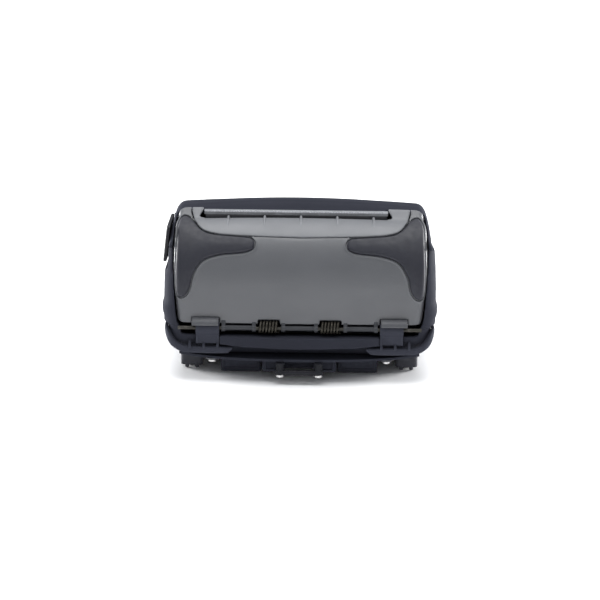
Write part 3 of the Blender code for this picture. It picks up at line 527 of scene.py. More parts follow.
def make_tub():
    arch = [(-46.8, 30.5), (-46.8, 22.2), (-30, 20.8), (0, 20), (30, 20.8), (46.8, 22.2),
            (46.8, 30.5)]
    bulge = curve([(-60, -60), (-46.8, -67.4), (-24, -69.3), (0, -69.9), (24, -69.3),
                   (46.8, -67.4), (60, -60)], 6)
    above_seam = [(-FAR, seam_height(-FAR) - GAP), (FAR, seam_height(FAR) - GAP), (FAR, CUT_TOP),
                  (-FAR, CUT_TOP)]
    inside = tub_solid(WALL, TUB_BOTTOM + WALL, 85, 6)
    behind_bulge = prism("Z", bulge + [(60, -80), (-60, -80)], 19, 32)
    hinge_room = block((-68.6, -67, 27.4), (68.6, -57, 50))
    battery_bay = block((-36.4, 60, 17.4), (36.4, FAR, 38.4))
    lever_recess = block((-FAR, -60, 62), (-76.4, -4, 85))
    port_opening = block((70, 22, 47), (FAR, 50, 60))
    cuts = [inside, prism("X", above_seam, -FAR, FAR), behind_bulge, hinge_room, door_bay(-42), battery_bay,
            lever_recess, port_opening]
    for side, _ in SIDES:
        spot = side * TAB_X
        reach = TAB_HALF + GAP
        cuts.append(block((spot - reach, -80, 22.1), (spot + reach, -57, 40)))
        for edge in (-1, 1):
            notch = side * SPRING_X + edge * 6.9
            cuts.append(block((notch - 1.4, -80, 27), (notch + 1.4, -62, 31)))
        cuts.append(side_block(side, 47.2, 70.5, (-80, 18), (-61.9, 22.4)))
        for y in (-30, -8, 14, 36):
            cuts.append(side_block(side, 76.9, FAR, (y - 8, 24), (y + 8, 25.6)))
    obj = to_object("tub_parts", tub_solid(0, TUB_BOTTOM, TUB_TOP))
    cut_and_join(obj, joins=[prism("Y", arch, -71.5, -61.6)])
    piece("tub_shell", taken(obj), "housing", "body", replaces=("base_tub",), cuts=cuts, melted=True)


# ---------------------------------------------------------------- front housing

# (y, height of the ridge, how far the sides of the roof lie below it)
ROOF = (
    (-51, 75.9, 0.3), (-47.6, 80, 0.4), (-41, 85.2, 0.4), (-35, 88.6, 0.6),
    (-28, 91.8, 1.4), (-20, 94.6, 3.2), (-12, 96, 4.2), (-2, 95, 3.4), (8, 92.4, 2.2),
    (18, 89, 1.4), (60, 74.5, 1.4), (66, 72, 1.2), (70, 69, 0.8), (72, 66.4, 0.2),
)


def housing_half_width(y):
    """Half-width of the housing's foot, rounded off towards both ends."""
    half = HOUSING_HALF
    for radius, past in ((12, y - 60), (8, -50 - y)):
        if past > 0:
            half -= radius - math.sqrt(max(radius ** 2 - past ** 2, 0))
    return half


def housing_section(y, inset, above_seam):
    """A ring of the housing: leaning sides, round shoulders and a roof that bows up to the ridge."""
    roof, drop = interpolate(ROOF, y)
    bottom = seam_height(y) + above_seam
    half = housing_half_width(y) - inset
    roof -= inset
    corner = min(HOUSING_CORNER - inset / 2, (roof - drop - bottom) * 0.8)
    shoulder = roof - drop - corner
    outer = half - (shoulder - LEAN_START_Z) * HOUSING_LEAN
    right = [(half - (bottom - LEAN_START_Z) * HOUSING_LEAN, bottom)]
    right += [(outer - corner * (1 - math.cos(a)), shoulder + corner * math.sin(a))
              for a in (math.radians(step * 10) for step in range(9))]
    inner, base = right[-1]
    right += [(inner * f, base + (roof - base) * (1 - f * f)) for f in (0.9, 0.75, 0.6, 0.45, 0.3, 0.15)]
    ring = right + [(0, roof)] + [(-x, z) for x, z in reversed(right)]
    return [(x, y, z) for x, z in ring]


def housing_solid(inset, above_seam, pitch=2):
    """The housing's outer form above the seam, moved in by the inset."""
    start, end = ROOF[0][0] + inset, ROOF[-1][0] - inset
    stations = spaced(start, end, int((end - start) / pitch))
    return loft([housing_section(y, inset, above_seam) for y in stations])


# The control panel: the y and z of its upper end, and its slope down to the front
PANEL_TOP = (8, 92.4)
PANEL_SLOPE = math.radians(19)
WINDOW = ((-42, 8), (4, 38))
KEYS = (("key_power", 14, "power_key"), ("key_feed", 28, "feed_key"), ("key_mode", 42, "mode_key"))
KEY_DOWN = (16, 26)
KEY_WIDTH = 10


def panel_point(x, down, lift):
    """The point this far down the slope of the control panel and this far off it."""
    y, z = PANEL_TOP
    return (x, y + down * math.cos(PANEL_SLOPE) + lift * math.sin(PANEL_SLOPE),
            z - down * math.sin(PANEL_SLOPE) + lift * math.cos(PANEL_SLOPE))


def on_panel(bm):
    """Moves a shape drawn as (x, down the slope, lift) onto the control panel."""
    for vertex in bm.verts:
        vertex.co = panel_point(*vertex.co)
    return bm


def panel_slab(low, high, bottom, top, radius):
    return on_panel(prism("Z", rounded_rectangle(low, high, radius), bottom, top))


def key_corners(x):
    return (x, KEY_DOWN[0]), (x + KEY_WIDTH, KEY_DOWN[1])


def make_seam_lip():
    """The tongue inside the wall that closes the joint between the tub and the front housing."""
    rear, front, reach, thick = -40, 61, 2.2, 0.8
    outline = [(rear, seam_height(rear) - reach), (front, seam_height(front) - reach),
               (front, seam_height(front) + reach), (rear, seam_height(rear) + reach)]
    face = HOUSING_HALF - WALL - GAP / 2
    tongues = [prism("X", outline, *sorted((side * face, side * (face - thick)))) for side, _ in SIDES]
    inside = 68.2
    level = seam_height(68)
    tongues.append(block((-62, inside, level - reach), (62, inside + thick, level + 2)))
    piece("seam_lip", merged(*tongues), "inner", "body", bevel=0.15, segments=2)


def make_housing():
    inside = housing_solid(WALL, -5, 4)
    window = panel_slab(*grown(*WINDOW, GAP), -8, 8, 1.5)
    panel_recess = panel_slab((-48, 3.4), (60, 42.6), -0.9, 8, 4)
    shaft_hole = turned("X", (-13, 85), [(-FAR, 2.6), (-60, 2.6)], 24)
    cuts = [inside, door_bay(BAY_FRONT), window, panel_recess, shaft_hole]
    for side, _ in SIDES:
        horn = 55.6 if side < 0 else 55.6 - HORN_SHIFT
        cuts.append(side_block(side, horn, 72.6, (-30, 84), (-22.6, CUT_TOP)))
    for _, x, _ in KEYS:
        cuts.append(panel_slab(*grown(*key_corners(x), GAP), -8, 8, 1.5))
    make_seam_lip()
    piece("housing_shell", housing_solid(0, 0), "housing", "body", replaces=("front_housing",), cuts=cuts,
          melted=True)


# ---------------------------------------------------------------- underside

SCREW_X = 50.5
SCREW_Y = -57.5
SCREW_RADIUS = 2.3


def domed_screw(name, spot, low, high, node):
    """A pan-head screw seen from below, with a cross recess."""
    x, y = spot
    point = 0.02
    rings = [(high, point), (high, SCREW_RADIUS * 0.96), (low + 0.5, SCREW_RADIUS),
             (low + 0.15, SCREW_RADIUS * 0.86), (low, SCREW_RADIUS * 0.55), (low, point)]
    arm, half, depth = SCREW_RADIUS * 0.62, 0.35, 0.7
    cross = [block((x - arm, y - half, low - 1), (x + arm, y + half, low + depth)),
             block((x - half, y - arm, low - 1), (x + half, y + arm, low + depth))]
    piece(name, turned("Z", spot, rings, 28), "zinc", "body", slot="steel", replaces=(node,), cuts=cross)


def make_underside():
    rear = curve([(-70, -56), (-58, -62), (-43, -66), (-22, -69), (0, -69.9),
                  (22, -69), (43, -66), (58, -62), (70, -56)], 4)
    front = [(70, 56), (62, 64), (-62, 64), (-70, 56)]
    low, high = 11.6, 12.9
    ribs = [block((side * 49.2 - 0.7, y, low), (side * 49.2 + 0.7, y + 16, high))
            for side, _ in SIDES for y in (-40, -20, 0, 20)]
    ribs += [block((-18, y - 0.6, low), (18, y + 0.6, high)) for y in range(-34, 50, 16)]
    piece("underside_plate", prism("Z", rear + front, 12.7, 14.2), "housing", "body",
          replaces=("bottom_plate",), joins=ribs, bevel=0.25, segments=2)
    bosses = [turned("Z", (side * SCREW_X, SCREW_Y), [(10.5, 3.6), (11.2, 4.4), (12.8, 7.2)], 32)
              for side, _ in SIDES]
    piece("base_bosses", merged(*bosses), "cap", "body", bevel=0.15, segments=2)
    for side, name in SIDES:
        make_foot(name)
        domed_screw(f"base_screw_head_{name}", (side * SCREW_X, SCREW_Y), 8.8, 10.7, f"base_screw_{name}")


def make_foot(name):
    """A rubber foot rail outside and a ribbed base block inside, each standing on small nubs."""
    low, high = box_mm(f"foot_rail_{name}")
    body = prism("Z", rounded_rectangle(low[:2], high[:2], 2.4), 2.2, high[2])
    grooves = [block((x - 1, y - 0.7, 3.4), (x + 1, y + 0.7, 10.4))
               for x in (low[0], high[0]) for y in range(-36, 48, 6)]
    piece(f"foot_rail_body_{name}", body, "rubber", "body", replaces=(f"foot_rail_{name}",), cuts=grooves,
          bevel=0.35)
    nubs = [turned("Z", (x, y), [(0, 0.75), (0.3, 1.15), (2.5, 1.4)], 14)
            for x in (low[0] + 3.6, high[0] - 3.6) for y in range(-42, 50, 6)]
    piece(f"foot_nubs_{name}", merged(*nubs), "rubber", "body")
    low, high = box_mm(f"base_block_{name}")
    shape = prism("Z", rounded_rectangle(low[:2], high[:2], 1.6), 0.5, high[2])
    cuts = [block((low[0] + 2.4, low[1] - 1, 3), (high[0] - 2.4, low[1] + 0.35, 9.6)),
            block((low[0] + 5, low[1] + 8, -1), (high[0] - 5, high[1] - 8, 2.2))]
    piece(f"base_block_body_{name}", shape, "guard", "body", replaces=(f"base_block_{name}",), cuts=cuts,
          bevel=0.35)
    nubs = [turned("Z", (low[0] + 2.6 + 4 * k, y), [(0, 0.4), (0.2, 0.7), (0.7, 0.9)], 12)
            for k in range(5) for y in (low[1] + 2.2, high[1] - 2.2)]
    piece(f"base_nubs_{name}", merged(*nubs), "rubber", "body")


def make_strap_bar():
    low, high = box_mm("strap_mount")
    mount = prism("Z", rounded_rectangle(low[:2], high[:2], 2.2), low[2], high[2])
    cuts = [block((-8.4, -66, 4), (8.4, -57, 11))]
    cuts += [block((side * 15 - 4.2, -66, 6.4), (side * 15 + 4.2, -63.1, 11.2)) for side, _ in SIDES]
    piece("strap_mount_body", mount, "housing", "body", replaces=("strap_mount",), cuts=cuts, bevel=0.45)
    post_x = 11
    bar = turned("X", (-71.7, 6.9), [(-14, 1), (-13.6, 1.4), (13.6, 1.4), (14, 1)], 24)
    posts = [turned("Z", (side * post_x, -70.4), [(6.9, 2.1), (7.2, 2.4), (11.6, 2.4), (12.4, 2.6)], 28)
             for side, _ in SIDES]
    piece("strap_bar_body", bar, "painted", "body", slot="steel", replaces=("strap_bar",), joins=posts)
    for side, name in SIDES:
        domed_screw(f"strap_screw_head_{name}", (side * post_x, -70.6), 4, 5.6, f"strap_screw_{name}")


# (angle round the corner, lower edge, upper edge) of the corner bumper
BUMPER = (
    (272, 16.5, 20.7), (285, 16.9, 21.3), (298, 17.8, 22.4), (312, 19.1, 24.6),
    (326, 20.8, 27.6), (340, 23.3, 29.8), (352, 25.8, 30.5), (360, 27.3, 30.6),
)


def around(centre, radii, angle):
    """A point on an ellipse, at this angle in degrees."""
    a = math.radians(angle)
    return centre[0] + radii[0] * math.cos(a), centre[1] + radii[1] * math.sin(a)


def bumper_rings(side):
    """Sections of the bumper rail, from its rounded rear end round both corners to the front."""
    # Each row is (inner point, outer point, lower edge, upper edge).
    rows = [((38.7, -64.1), (38.7, -68.3), 19, 20.9), ((40.2, -64.1), (40.2, -68.5), 17.7, 20.9),
            ((42.2, -64.1), (42.2, -68.5), 16.7, 20.8), ((54, -64), (54, -68), 16.4, 20.7)]
    rows += [(around((64.4, -51.4), (12.4, 12.5), angle), around((64.4, -54), (13.9, 13), angle),
              low, high) for angle, low, high in BUMPER]
    rows += [((76.8, y), (78.4, y), 27.2, 30.6) for y in (-40, 40)]
    front = (64.6, 58.9)
    rows += [(around(front, (12.2, 12.3), 360 - angle), around(front, (13.8, 13.9), 360 - angle),
              low, high) for angle, low, high in reversed(BUMPER)]
    rows.append(((44, 71.2), (44, 72.8), 17.2, 20.8))
    rows = curve([(*inner, *outer, low, high) for inner, outer, low, high in rows], 3)
    rings = []
    for ix, iy, ox, oy, low, high in rows:
        rim = min((high - low) * 0.28, 1.5)
        sections = ((0, low + rim * 0.3), (0.45, low), (0.8, low + rim * 0.25), (1, low + rim),
                    (1, high - rim), (0.85, high - rim * 0.25), (0.5, high), (0, high))
        rings.append([(side * (ix + (ox - ix) * share), iy + (oy - iy) * share, z) for share, z in sections])
    return rings


def make_bumpers():
    outline = [(-68, 19.8), (-67.9, 21), (-66.8, 22.2), (-65.2, 23.4), (-63.6, 24), (-61.4, 24),
               (-61.4, 19.8)]
    for side, name in SIDES:
        ribs = [prism("X", outline, side * x - 0.75, side * x + 0.75) for x in (47.1, 55.1, 63.1)]
        piece(f"bumper_{name}", loft(bumper_rings(side)), "guard", "body", replaces=(f"bumper_rail_{name}",),
              joins=ribs, bevel=0.18, segments=2)


# ---------------------------------------------------------------- door surface

DOOR_START = (-64, 33.5)
DOOR_START_LEAN = 2.8
# (radius, length) of each arc up the door from the hinge. The ears and horns follow their own last arcs.
DOOR_ARCS = ((260, 20), (65, 10), (40, 22), (28, 19.6))
EAR_ARCS = (*DOOR_ARCS[:3], (28, 17.6), (-6, 3.5), (500, 5.9))
DOOR_LENGTH = 71.6
DOOR_HALF = 73.3
DOOR_EDGE_RADIUS = 5.2
EAR_EDGE_RADIUS = 2.2
EAR_TOP = 79.2
DOOR_BOW = 1.2
DOOR_BOW_HALF = 68
DOOR_SKIN = 2.2
DOOR_FLANGE = 79
HORN_START = 56
# The right-hand horn of the bezel is this much wider than the left.
HORN_SHIFT = 5.9
SHEET_PITCH = 1.8

# (across, along) of the seam between the door shell and the bezel, from the middle outwards
PARTING = (
    (0, 51.6), (30, 52.6), (41, 53.4), (49, 54.4), (55.2, 56.6), (58.8, 60.2), (61.2, 66),
    (63, 71.8),
)
# (across, along) of a grip pad's edge
PAD = (
    (67.8, 72.4), (65.2, 71), (63.2, 67.2), (60.9, 61.9), (57.6, 57), (53, 54), (45, 52.6),
    (32, 51.3), (28, 50), (26.6, 47), (27.9, 43.8), (33.5, 41.8), (46.3, 40.4), (56.2, 36.7),
    (61.6, 28.4), (63.4, 20.6), (66, 16.2), (69.2, 15.2), (71.3, 17.6), (71.9, 27), (71.5, 42),
    (71.1, 58), (70.6, 66), (69.6, 70.9),
)


def profile(along, arcs):
    """The y, z and backward lean of the door's middle line, this far up from its foot."""
    y, z = DOOR_START
    lean = math.radians(DOOR_START_LEAN)
    left = along
    for index, (radius, length) in enumerate(arcs):
        step = left if index == len(arcs) - 1 else min(left, length)
        turn = lean + step / radius
        y += radius * (math.cos(lean) - math.cos(turn))
        z += radius * (math.sin(turn) - math.sin(lean))
        lean = turn
        left -= step
        if left <= 0:
            break
    return y, z, lean


def door_half_width(along):
    """Half-width over the rolled side edges: widest at mid height, in at the foot and slightly at the top."""
    upper = 1.3 * (max(min(along, 73) - 42, 0) / 29.6) ** 4
    lower = 1.65 * (max(50 - along, 0) / 38) ** 1.9
    return DOOR_HALF - upper - lower


def door_point(across, along, lift=0):
    """Maps unrolled door coordinates to space. The ears and horns at the sides turn up to the frame."""
    start = HORN_START - (HORN_SHIFT if across > 0 else 0)
    share = smoothstep(abs(across), start, start + 0.9)
    plain = profile(along, DOOR_ARCS)
    horn = profile(along, EAR_ARCS)
    y, z, lean = (a + (b - a) * share for a, b in zip(plain, horn))
    radius = DOOR_EDGE_RADIUS + (EAR_EDGE_RADIUS - DOOR_EDGE_RADIUS) * smoothstep(along, 46, 68)
    flat = door_half_width(along) - radius
    reach = abs(across)
    turn = min(max((reach - flat) / radius, 0), math.pi / 2)
    flange = max(reach - flat - radius * math.pi / 2, 0)
    x = min(reach, flat) + (radius + lift) * math.sin(turn)
    out = (radius + lift) * math.cos(turn) - radius - flange
    out -= DOOR_BOW * (min(reach, DOOR_BOW_HALF) / DOOR_BOW_HALF) ** 2
    return math.copysign(x, across), y - math.cos(lean) * out, z + math.sin(lean) * out


def nearest(points, outline):
    """Distance from each point to the closed outline, negative inside it."""
    p = np.array(points, float)
    a = np.array(outline, float)
    b = np.roll(a, -1, axis=0)
    run = b - a
    t = np.einsum("ijk,jk->ij", p[:, None] - a[None], run) / np.maximum((run ** 2).sum(1), 1e-12)
    t = np.clip(t, 0, 1)
    gap = p[:, None] - a[None] - run[None] * t[..., None]
    away = np.sqrt((gap ** 2).sum(2)).min(1)
    above = (a[None, :, 1] > p[:, None, 1]) != (b[None, :, 1] > p[:, None, 1])
    slope = np.where(np.abs(run[:, 1]) < 1e-12, 1e-12, run[:, 1])
    x = a[None, :, 0] + (p[:, None, 1] - a[None, :, 1]) * run[None, :, 0] / slope[None]
    inside = (above & (p[:, None, 0] < x)).sum(1) % 2 == 1
    return np.where(inside, -away, away)


def offset(outline, distance):
    """The closed outline moved outwards, or inwards when the distance is negative."""
    points = np.array(outline, float)
    ahead = np.roll(points, -1, axis=0) - np.roll(points, 1, axis=0)
    normal = np.stack([ahead[:, 1], -ahead[:, 0]], 1)
    normal /= np.maximum(np.linalg.norm(normal, axis=1, keepdims=True), 1e-9)
    area = np.sum(points[:, 0] * np.roll(points[:, 1], -1) - points[:, 1] * np.roll(points[:, 0], -1))
    return [tuple(p) for p in points + normal * distance * (1 if area > 0 else -1)]


def refine(outline, longest):
    """The closed outline with no span over the given length."""
    made = []
    for (x1, y1), (x2, y2) in zip(outline, outline[1:] + outline[:1]):
        count = max(math.ceil(math.hypot(x2 - x1, y2 - y1) / longest), 1)
        made += [(x1 + (x2 - x1) * k / count, y1 + (y2 - y1) * k / count) for k in range(count)]
    return made


def sheet(outline, steps, holes, pitch, top=0.0, crown=None):
    """An open sheet on the door surface. steps is (inset, lift) rows of its rolled edge, from the rim in.

    Each hole is (outline, rows of (distance outside it, lift), lift inside). crown adds lift by depth inside.
    """
    loops = [(offset(outline, -inset) if inset else list(outline), lift) for inset, lift in steps]
    for hole, rows, _ in holes:
        loops += [(offset(hole, distance), lift) for distance, lift in rows]
    across = np.array(outline)[:, 0]
    along = np.array(outline)[:, 1]
    grid = [(a, b) for a in np.arange(across.min(), across.max() + pitch, pitch)
            for b in np.arange(along.min(), along.max() + pitch, pitch)]
    lifts = np.full(len(grid), top)
    keep = nearest(grid, outline) < -(steps[-1][0] + 0.5)
    if crown:
        lifts = lifts + np.array([crown(-d) for d in nearest(grid, outline)])
    for hole, rows, inside in holes:
        away = nearest(grid, hole)
        low = min(distance for distance, _ in rows) - 0.5
        high = max(distance for distance, _ in rows) + 0.5
        keep &= ~((away > low) & (away < high))
        lifts = np.where(away <= low, inside, lifts)
    points = [(*point, lift) for loop, lift in loops for point in loop]
    edges = []
    start = 0
    for loop, _ in loops:
        edges += [(start + k, start + (k + 1) % len(loop)) for k in range(len(loop))]
        start += len(loop)
    points += [(*grid[k], lifts[k]) for k in np.nonzero(keep)[0]]
    flat = [Vector(point[:2]) for point in points]
    vertices, _, faces, origins, _, _ = delaunay_2d_cdt(flat, edges, [], 0, 1e-5)
    middles = [tuple(sum((vertices[k] for k in face), Vector((0, 0))) / len(face)) for face in faces]
    within = nearest(middles, outline) < 0
    bm = bmesh.new()
    made = []
    for place, source in zip(vertices, origins):
        lift = points[source[0]][2] if source else top
        made.append(bm.verts.new(door_point(place[0], place[1], lift)))
    for face, good in zip(faces, within):
        if good:
            bm.faces.new([made[k] for k in face])
    loose = [vertex for vertex in bm.verts if not vertex.link_faces]
    bmesh.ops.delete(bm, geom=loose, context="VERTS")
    return bm


def thickened(bm, thickness):
    """Gives an open sheet a back face at the given depth along its normals, and joins the two at the rim."""
    bm.normal_update()
    if sum(face.normal.y * face.calc_area() for face in bm.faces) > 0:
        bmesh.ops.reverse_faces(bm, faces=bm.faces)
        bm.normal_update()
    obj = to_object("sheet", bm)
    solid = obj.modifiers.new("Solidify", "SOLIDIFY")
    solid.thickness = thickness * MM
    solid.offset = -1
    solid.use_even_offset = False
    settle(obj)
    return taken(obj)


def mirrored(half):
    return list(half) + [(-x, y) for x, y in reversed(half) if x > 1e-6]


EDGE_ROLL = ((0, -0.6), (0.1, -0.28), (0.3, -0.08), (0.65, 0))
PAD_POCKET = ((-0.8, -0.45), (0.1, -0.6), (0.5, -0.55), (0.7, 0.1), (0.95, 0.42), (1.35, 0.42), (1.8, 0.08),
              (2.2, 0))
PAD_EDGE = ((0, -0.5), (0.05, 0.15), (0.25, 0.55), (0.7, 0.92), (1.4, 1.15))
RIB_PITCH = 21.2


def pad_outline(side):
    return [(side * x, y) for x, y in curve(PAD, 6, closed=True)]


def door_outline():
    """The door shell, unrolled: notched for the springs and hinge caps, and up to the bezel at the top."""
    foot, notch, cap_notch = 0.2, 2.6, 3.6
    springs = [(SPRING_X - 6.4, foot), (SPRING_X - 6.1, notch), (SPRING_X + 6.1, notch),
               (SPRING_X + 6.4, foot)]
    inner, outer = CAP_SPAN
    caps = [(inner - 0.5, foot), (inner - 0.4, cap_notch), (outer + 0.4, cap_notch), (outer + 0.5, foot)]
    corner = [(68, foot), (70.3, 0.8), (72.6, 2.2), (74.8, 4.6), (DOOR_FLANGE - 2.4, 8)]
    edge = [(DOOR_FLANGE, 30), (DOOR_FLANGE, 43), (77.8, 49), (76.4, 55), (75.4, 62), (74.8, 68),
            (74.2, 72.4), (73.2, 74.8), (72.1, 76.4), (71, 77.4), (69.5, 78.4), (67.7, 79.1),
            (66, EAR_TOP), (64.4, EAR_TOP), (64.3, 75.6)]
    seam = [(x + 0.3, y - 0.3) for x, y in reversed(curve(PARTING, 5))]
    seam = [(x if x > 0.31 else 0, y) for x, y in seam]
    return refine(mirrored([(0, foot)] + springs + caps + corner + edge + seam), 2)


def bezel_outline():
    """The bezel, unrolled: above the seam, with a horn at each end of the label slot. Its colour is the
    door's plastic painted lighter for the light on its upturned top.
    """
    seam = [(x - 0.2 if x else 0, y + 0.15) for x, y in curve(PARTING, 5)]
    rim = seam + [(63.7, 75.4), (63.9, EAR_TOP - 0.6), (63.5, EAR_TOP)]
    horn = [(57.7, EAR_TOP), (57.2, EAR_TOP - 0.5), (58.2, 75.6), (59.3, 72.7), (58.2, DOOR_LENGTH + 0.2),
            (HORN_START, DOOR_LENGTH)]
    horns = [(x - HORN_SHIFT, y) for x, y in horn] + [(-x, y) for x, y in reversed(horn)]
    return refine(rim + horns + [(-x, y) for x, y in reversed(rim) if x > 1e-6], 2)


def make_door():
    pockets = [(pad_outline(side), PAD_POCKET, -0.55) for side, _ in SIDES]
    for name, outline, holes, node in (("door", door_outline(), pockets, "door_shell"),
                                       ("bezel", bezel_outline(), (), "door_bezel")):
        skin = thickened(sheet(outline, EDGE_ROLL, holes, SHEET_PITCH), DOOR_SKIN)
        piece(f"{name}_skin", skin, name, "door", replaces=(node,), sharp=50)
    ribs = [paper_rib(place * RIB_PITCH) for place in (-2, -1, 0, 1, 2)]
    piece("bezel_ribs", merged(*ribs), "bezel", "door", bevel=0.2, segments=2)
    for side, name in SIDES:
        make_pad(side, name)


def paper_rib(x):
    """A tapered rib that lifts the label off the bezel edge."""
    rings = []
    for along, width, rise in ((60.5, 0.25, 0.05), (64, 0.42, 0.5), (68, 0.58, 0.95), (70.6, 0.68, 1.35),
                               (71.9, 0.68, 1.3)):
        foot, crest = width * 1.5, width * 0.7
        rings.append([door_point(x - foot, along, -0.4), door_point(x + foot, along, -0.4),
                      door_point(x + crest, along, rise), door_point(x - crest, along, rise)])
    return loft(rings)


def make_pad(side, name):
    """A soft grip pad that stands in its pocket, domed over its middle."""
    def crown(depth):
        return 0.35 * smoothstep(depth, 1.3, 7)

    pad = sheet(pad_outline(side), PAD_EDGE, (), 1.3, top=PAD_EDGE[-1][1], crown=crown)
    piece(f"pad_{name}", thickened(pad, 0.5), "pad", "door", replaces=(f"grip_pad_{name}",), sharp=70)


# ---------------------------------------------------------------- hinge

def make_hinge():
    leaf = [(-60, 34.6), (-59.6, 34.4), (-57.8, 34.4), (-57.6, 34.6), (-57.6, 39.8), (-60, 39.8)]
    knuckle = [(-57.9, 39), (-61.4, 39), (-63.2, 36), (-64.4, 33.4)]
    knuckle += arc((PIN_Y, PIN_Z), 1.9, 110, 300, 14) + [(-60.6, 29.4), (-57.9, 34.8)]
    joins = [prism("X", knuckle, x - 1.1, x + 1.1) for x in LUGS]
    joins += [turned("X", (PIN_Y, PIN_Z + 0.3), [(low, 1.45), (high, 1.45)], 28)
              for low, high in zip(LUGS[::2], LUGS[1::2])]
    reach = TAB_HALF + 0.5
    gaps = [block((side * TAB_X - reach, -70, 26), (side * TAB_X + reach, -57, 36.2))
            for side, _ in SIDES]
    leaf_parts = to_object("leaf_parts", prism("X", leaf, -66, 66))
    cut_and_join(leaf_parts, gaps, joins)
    piece("hinge_leaf", taken(leaf_parts), "leaf", "door", slot="door", replaces=("door_hinge_leaf",),
          bevel=0.2, segments=2)
    for side, name in SIDES:
        make_hinge_side(side, name)


def make_hinge_side(side, name):
    """The bracket tab on the body, the cap on the door above it, and the spring beside them."""
    middle = side * TAB_X
    tab = [(-66.3, 22.4), (-60.4, 22.4), (-60.4, PIN_Z)] + arc((PIN_Y, PIN_Z), 3.7, 0, 214, 24)
    tab += [(-66.5, 28.3), (-66.3, 27.4)]
    half = TAB_HALF - 1.2
    relief = block((middle - half, -69, 21), (middle + half, -65.9, 27))
    piece(f"hinge_tab_{name}", prism("X", tab, middle - TAB_HALF, middle + TAB_HALF), "guard", "body",
          replaces=(f"hinge_bracket_{name}",), cuts=(relief,), bevel=0.55)
    cap = [(-61, 36), (-61, 37), (-64.6, 37.1), (-66.4, 36.7), (-67.6, 36), (-68.3, 35),
           (-68.6, 33.9), (-68.2, 33.4), (-67.4, 33.7), (-66.2, 34.8), (-64, 35.4), (-62.2, 35.2)]
    low, high = sorted(side * x for x in CAP_SPAN)
    piece(f"hinge_cover_{name}", prism("X", cap, low, high), "cap", "door", slot="door",
          replaces=(f"hinge_cap_{name}",), bevel=0.4)
    piece(f"spring_{name}", torsion_spring(side * SPRING_X), "spring", "body", slot="steel",
          replaces=(f"hinge_spring_{name}",), sharp=70)


def torsion_spring(middle):
    """A close-wound coil round the hinge pin, with one leg into the tub and one hooked against the door."""
    turns, pitch, coil, wire, steps, middle_z = 6, 1.78, 3, 0.68, 24, PIN_Z + 0.9
    total = turns * steps
    half = turns * pitch / 2
    foot = middle_z - coil
    route = [(middle - half, PIN_Y + 6, foot), (middle - half, PIN_Y + 2, foot)]
    for step in range(total + 1):
        angle = -math.pi / 2 - 2 * math.pi * step / steps
        route.append((middle + (step / total - 0.5) * 2 * half, PIN_Y + coil * math.cos(angle),
                      middle_z + coil * math.sin(angle)))
    route += [(middle + half, PIN_Y + 2, foot - 0.1), (middle + half, PIN_Y + 5.5, foot - 0.4)]
    return tube(route, wire, 12)


# ---------------------------------------------------------------- controls

def make_lever():
    """The latch lever outside the left wall, with grip ridges along its lower half."""
    low, high = (-45, 64.6), (-9.6, 86.2)
    outline = rounded_rectangle(low, high, 2.6, 8)

    def face(z):
        """The x of the lever's outer face, which leans with the wall."""
        return -80 + (z - low[1]) * HOUSING_LEAN

    def wall(depth, inset):
        return [(face(z) + depth, y, z) for y, z in offset(outline, -inset)]

    plate = loft([wall(0, 0.9), wall(0.12, 0.4), wall(0.5, 0), wall(2, 0)])
    ridges = []
    for index in range(7):
        z = 67 + index * 1.9
        ridges.append(block((face(z) - 2, -41, z - 0.45), (face(z) + 0.45, -20, z + 0.45)))
    piece("lever_plate", plate, "lever", "latch", slot="housing", replaces=("latch_lever",), cuts=ridges)


def ring_outline(centre, radius, width, start, end):
    """A ring of the given line width, open between its end and its start angle."""
    return arc(centre, radius + width / 2, start, end, 24) + arc(centre, radius - width / 2, end, start, 24)


def ring_box(low, high, width=0.5):
    """A box drawn as a thin U-shaped line, open on the side towards the front."""
    (x1, y1), (x2, y2) = low, high
    return [(x1, y2), (x1, y1), (x2, y1), (x2, y2), (x2 - width, y2), (x2 - width, y1 + width),
            (x1 + width, y1 + width), (x1 + width, y2)]


def box_outline(low, high):
    return [(low[0], low[1]), (high[0], low[1]), (high[0], high[1]), (low[0], high[1])]


def key_icon(name, x, y):
    """The outlines of a key's icon: a power ring, a feed arrow or a pair of pages."""
    if name == "key_power":
        stroke = box_outline((x - 0.28, y - 3), (x + 0.28, y - 0.4))
        return [ring_outline((x, y + 0.2), 2.2, 0.5, -60, 240), stroke]
    if name == "key_feed":
        arrow = [(-2.2, -0.9), (0, -3), (2.2, -0.9), (0.8, -0.9), (0.8, 1.4), (-0.8, 1.4), (-0.8, -0.9)]
        return [[(x + a, y + b) for a, b in arrow], box_outline((x - 2.2, y + 2.1), (x + 2.2, y + 2.7))]
    return [ring_box((x - 2.4, y - 2.4), (x + 0.8, y + 0.8)),
            ring_box((x - 0.7, y - 0.7), (x + 2.5, y + 2.5))]


def make_keys():
    """Three domed keys with plain icons."""
    rows = ((0, -3.6), (0, -0.15), (0.25, 0.2), (0.7, 0.42), (1.6, 0.55))
    for name, x, body in KEYS:
        outline = rounded_rectangle(*key_corners(x), 2.2, 8)
        rings = [[(a, b, lift) for a, b in offset(outline, -inset)] for inset, lift in rows]
        piece(f"{name}_cap", on_panel(loft(rings)), "key", body, replaces=(name,), sharp=60)
        icon = key_icon(name, x + KEY_WIDTH / 2, sum(KEY_DOWN) / 2)
        marks = merged(*[prism("Z", shape, 0.42, 0.62) for shape in icon])
        piece(f"{name}_icon", on_panel(marks), "mark", body)


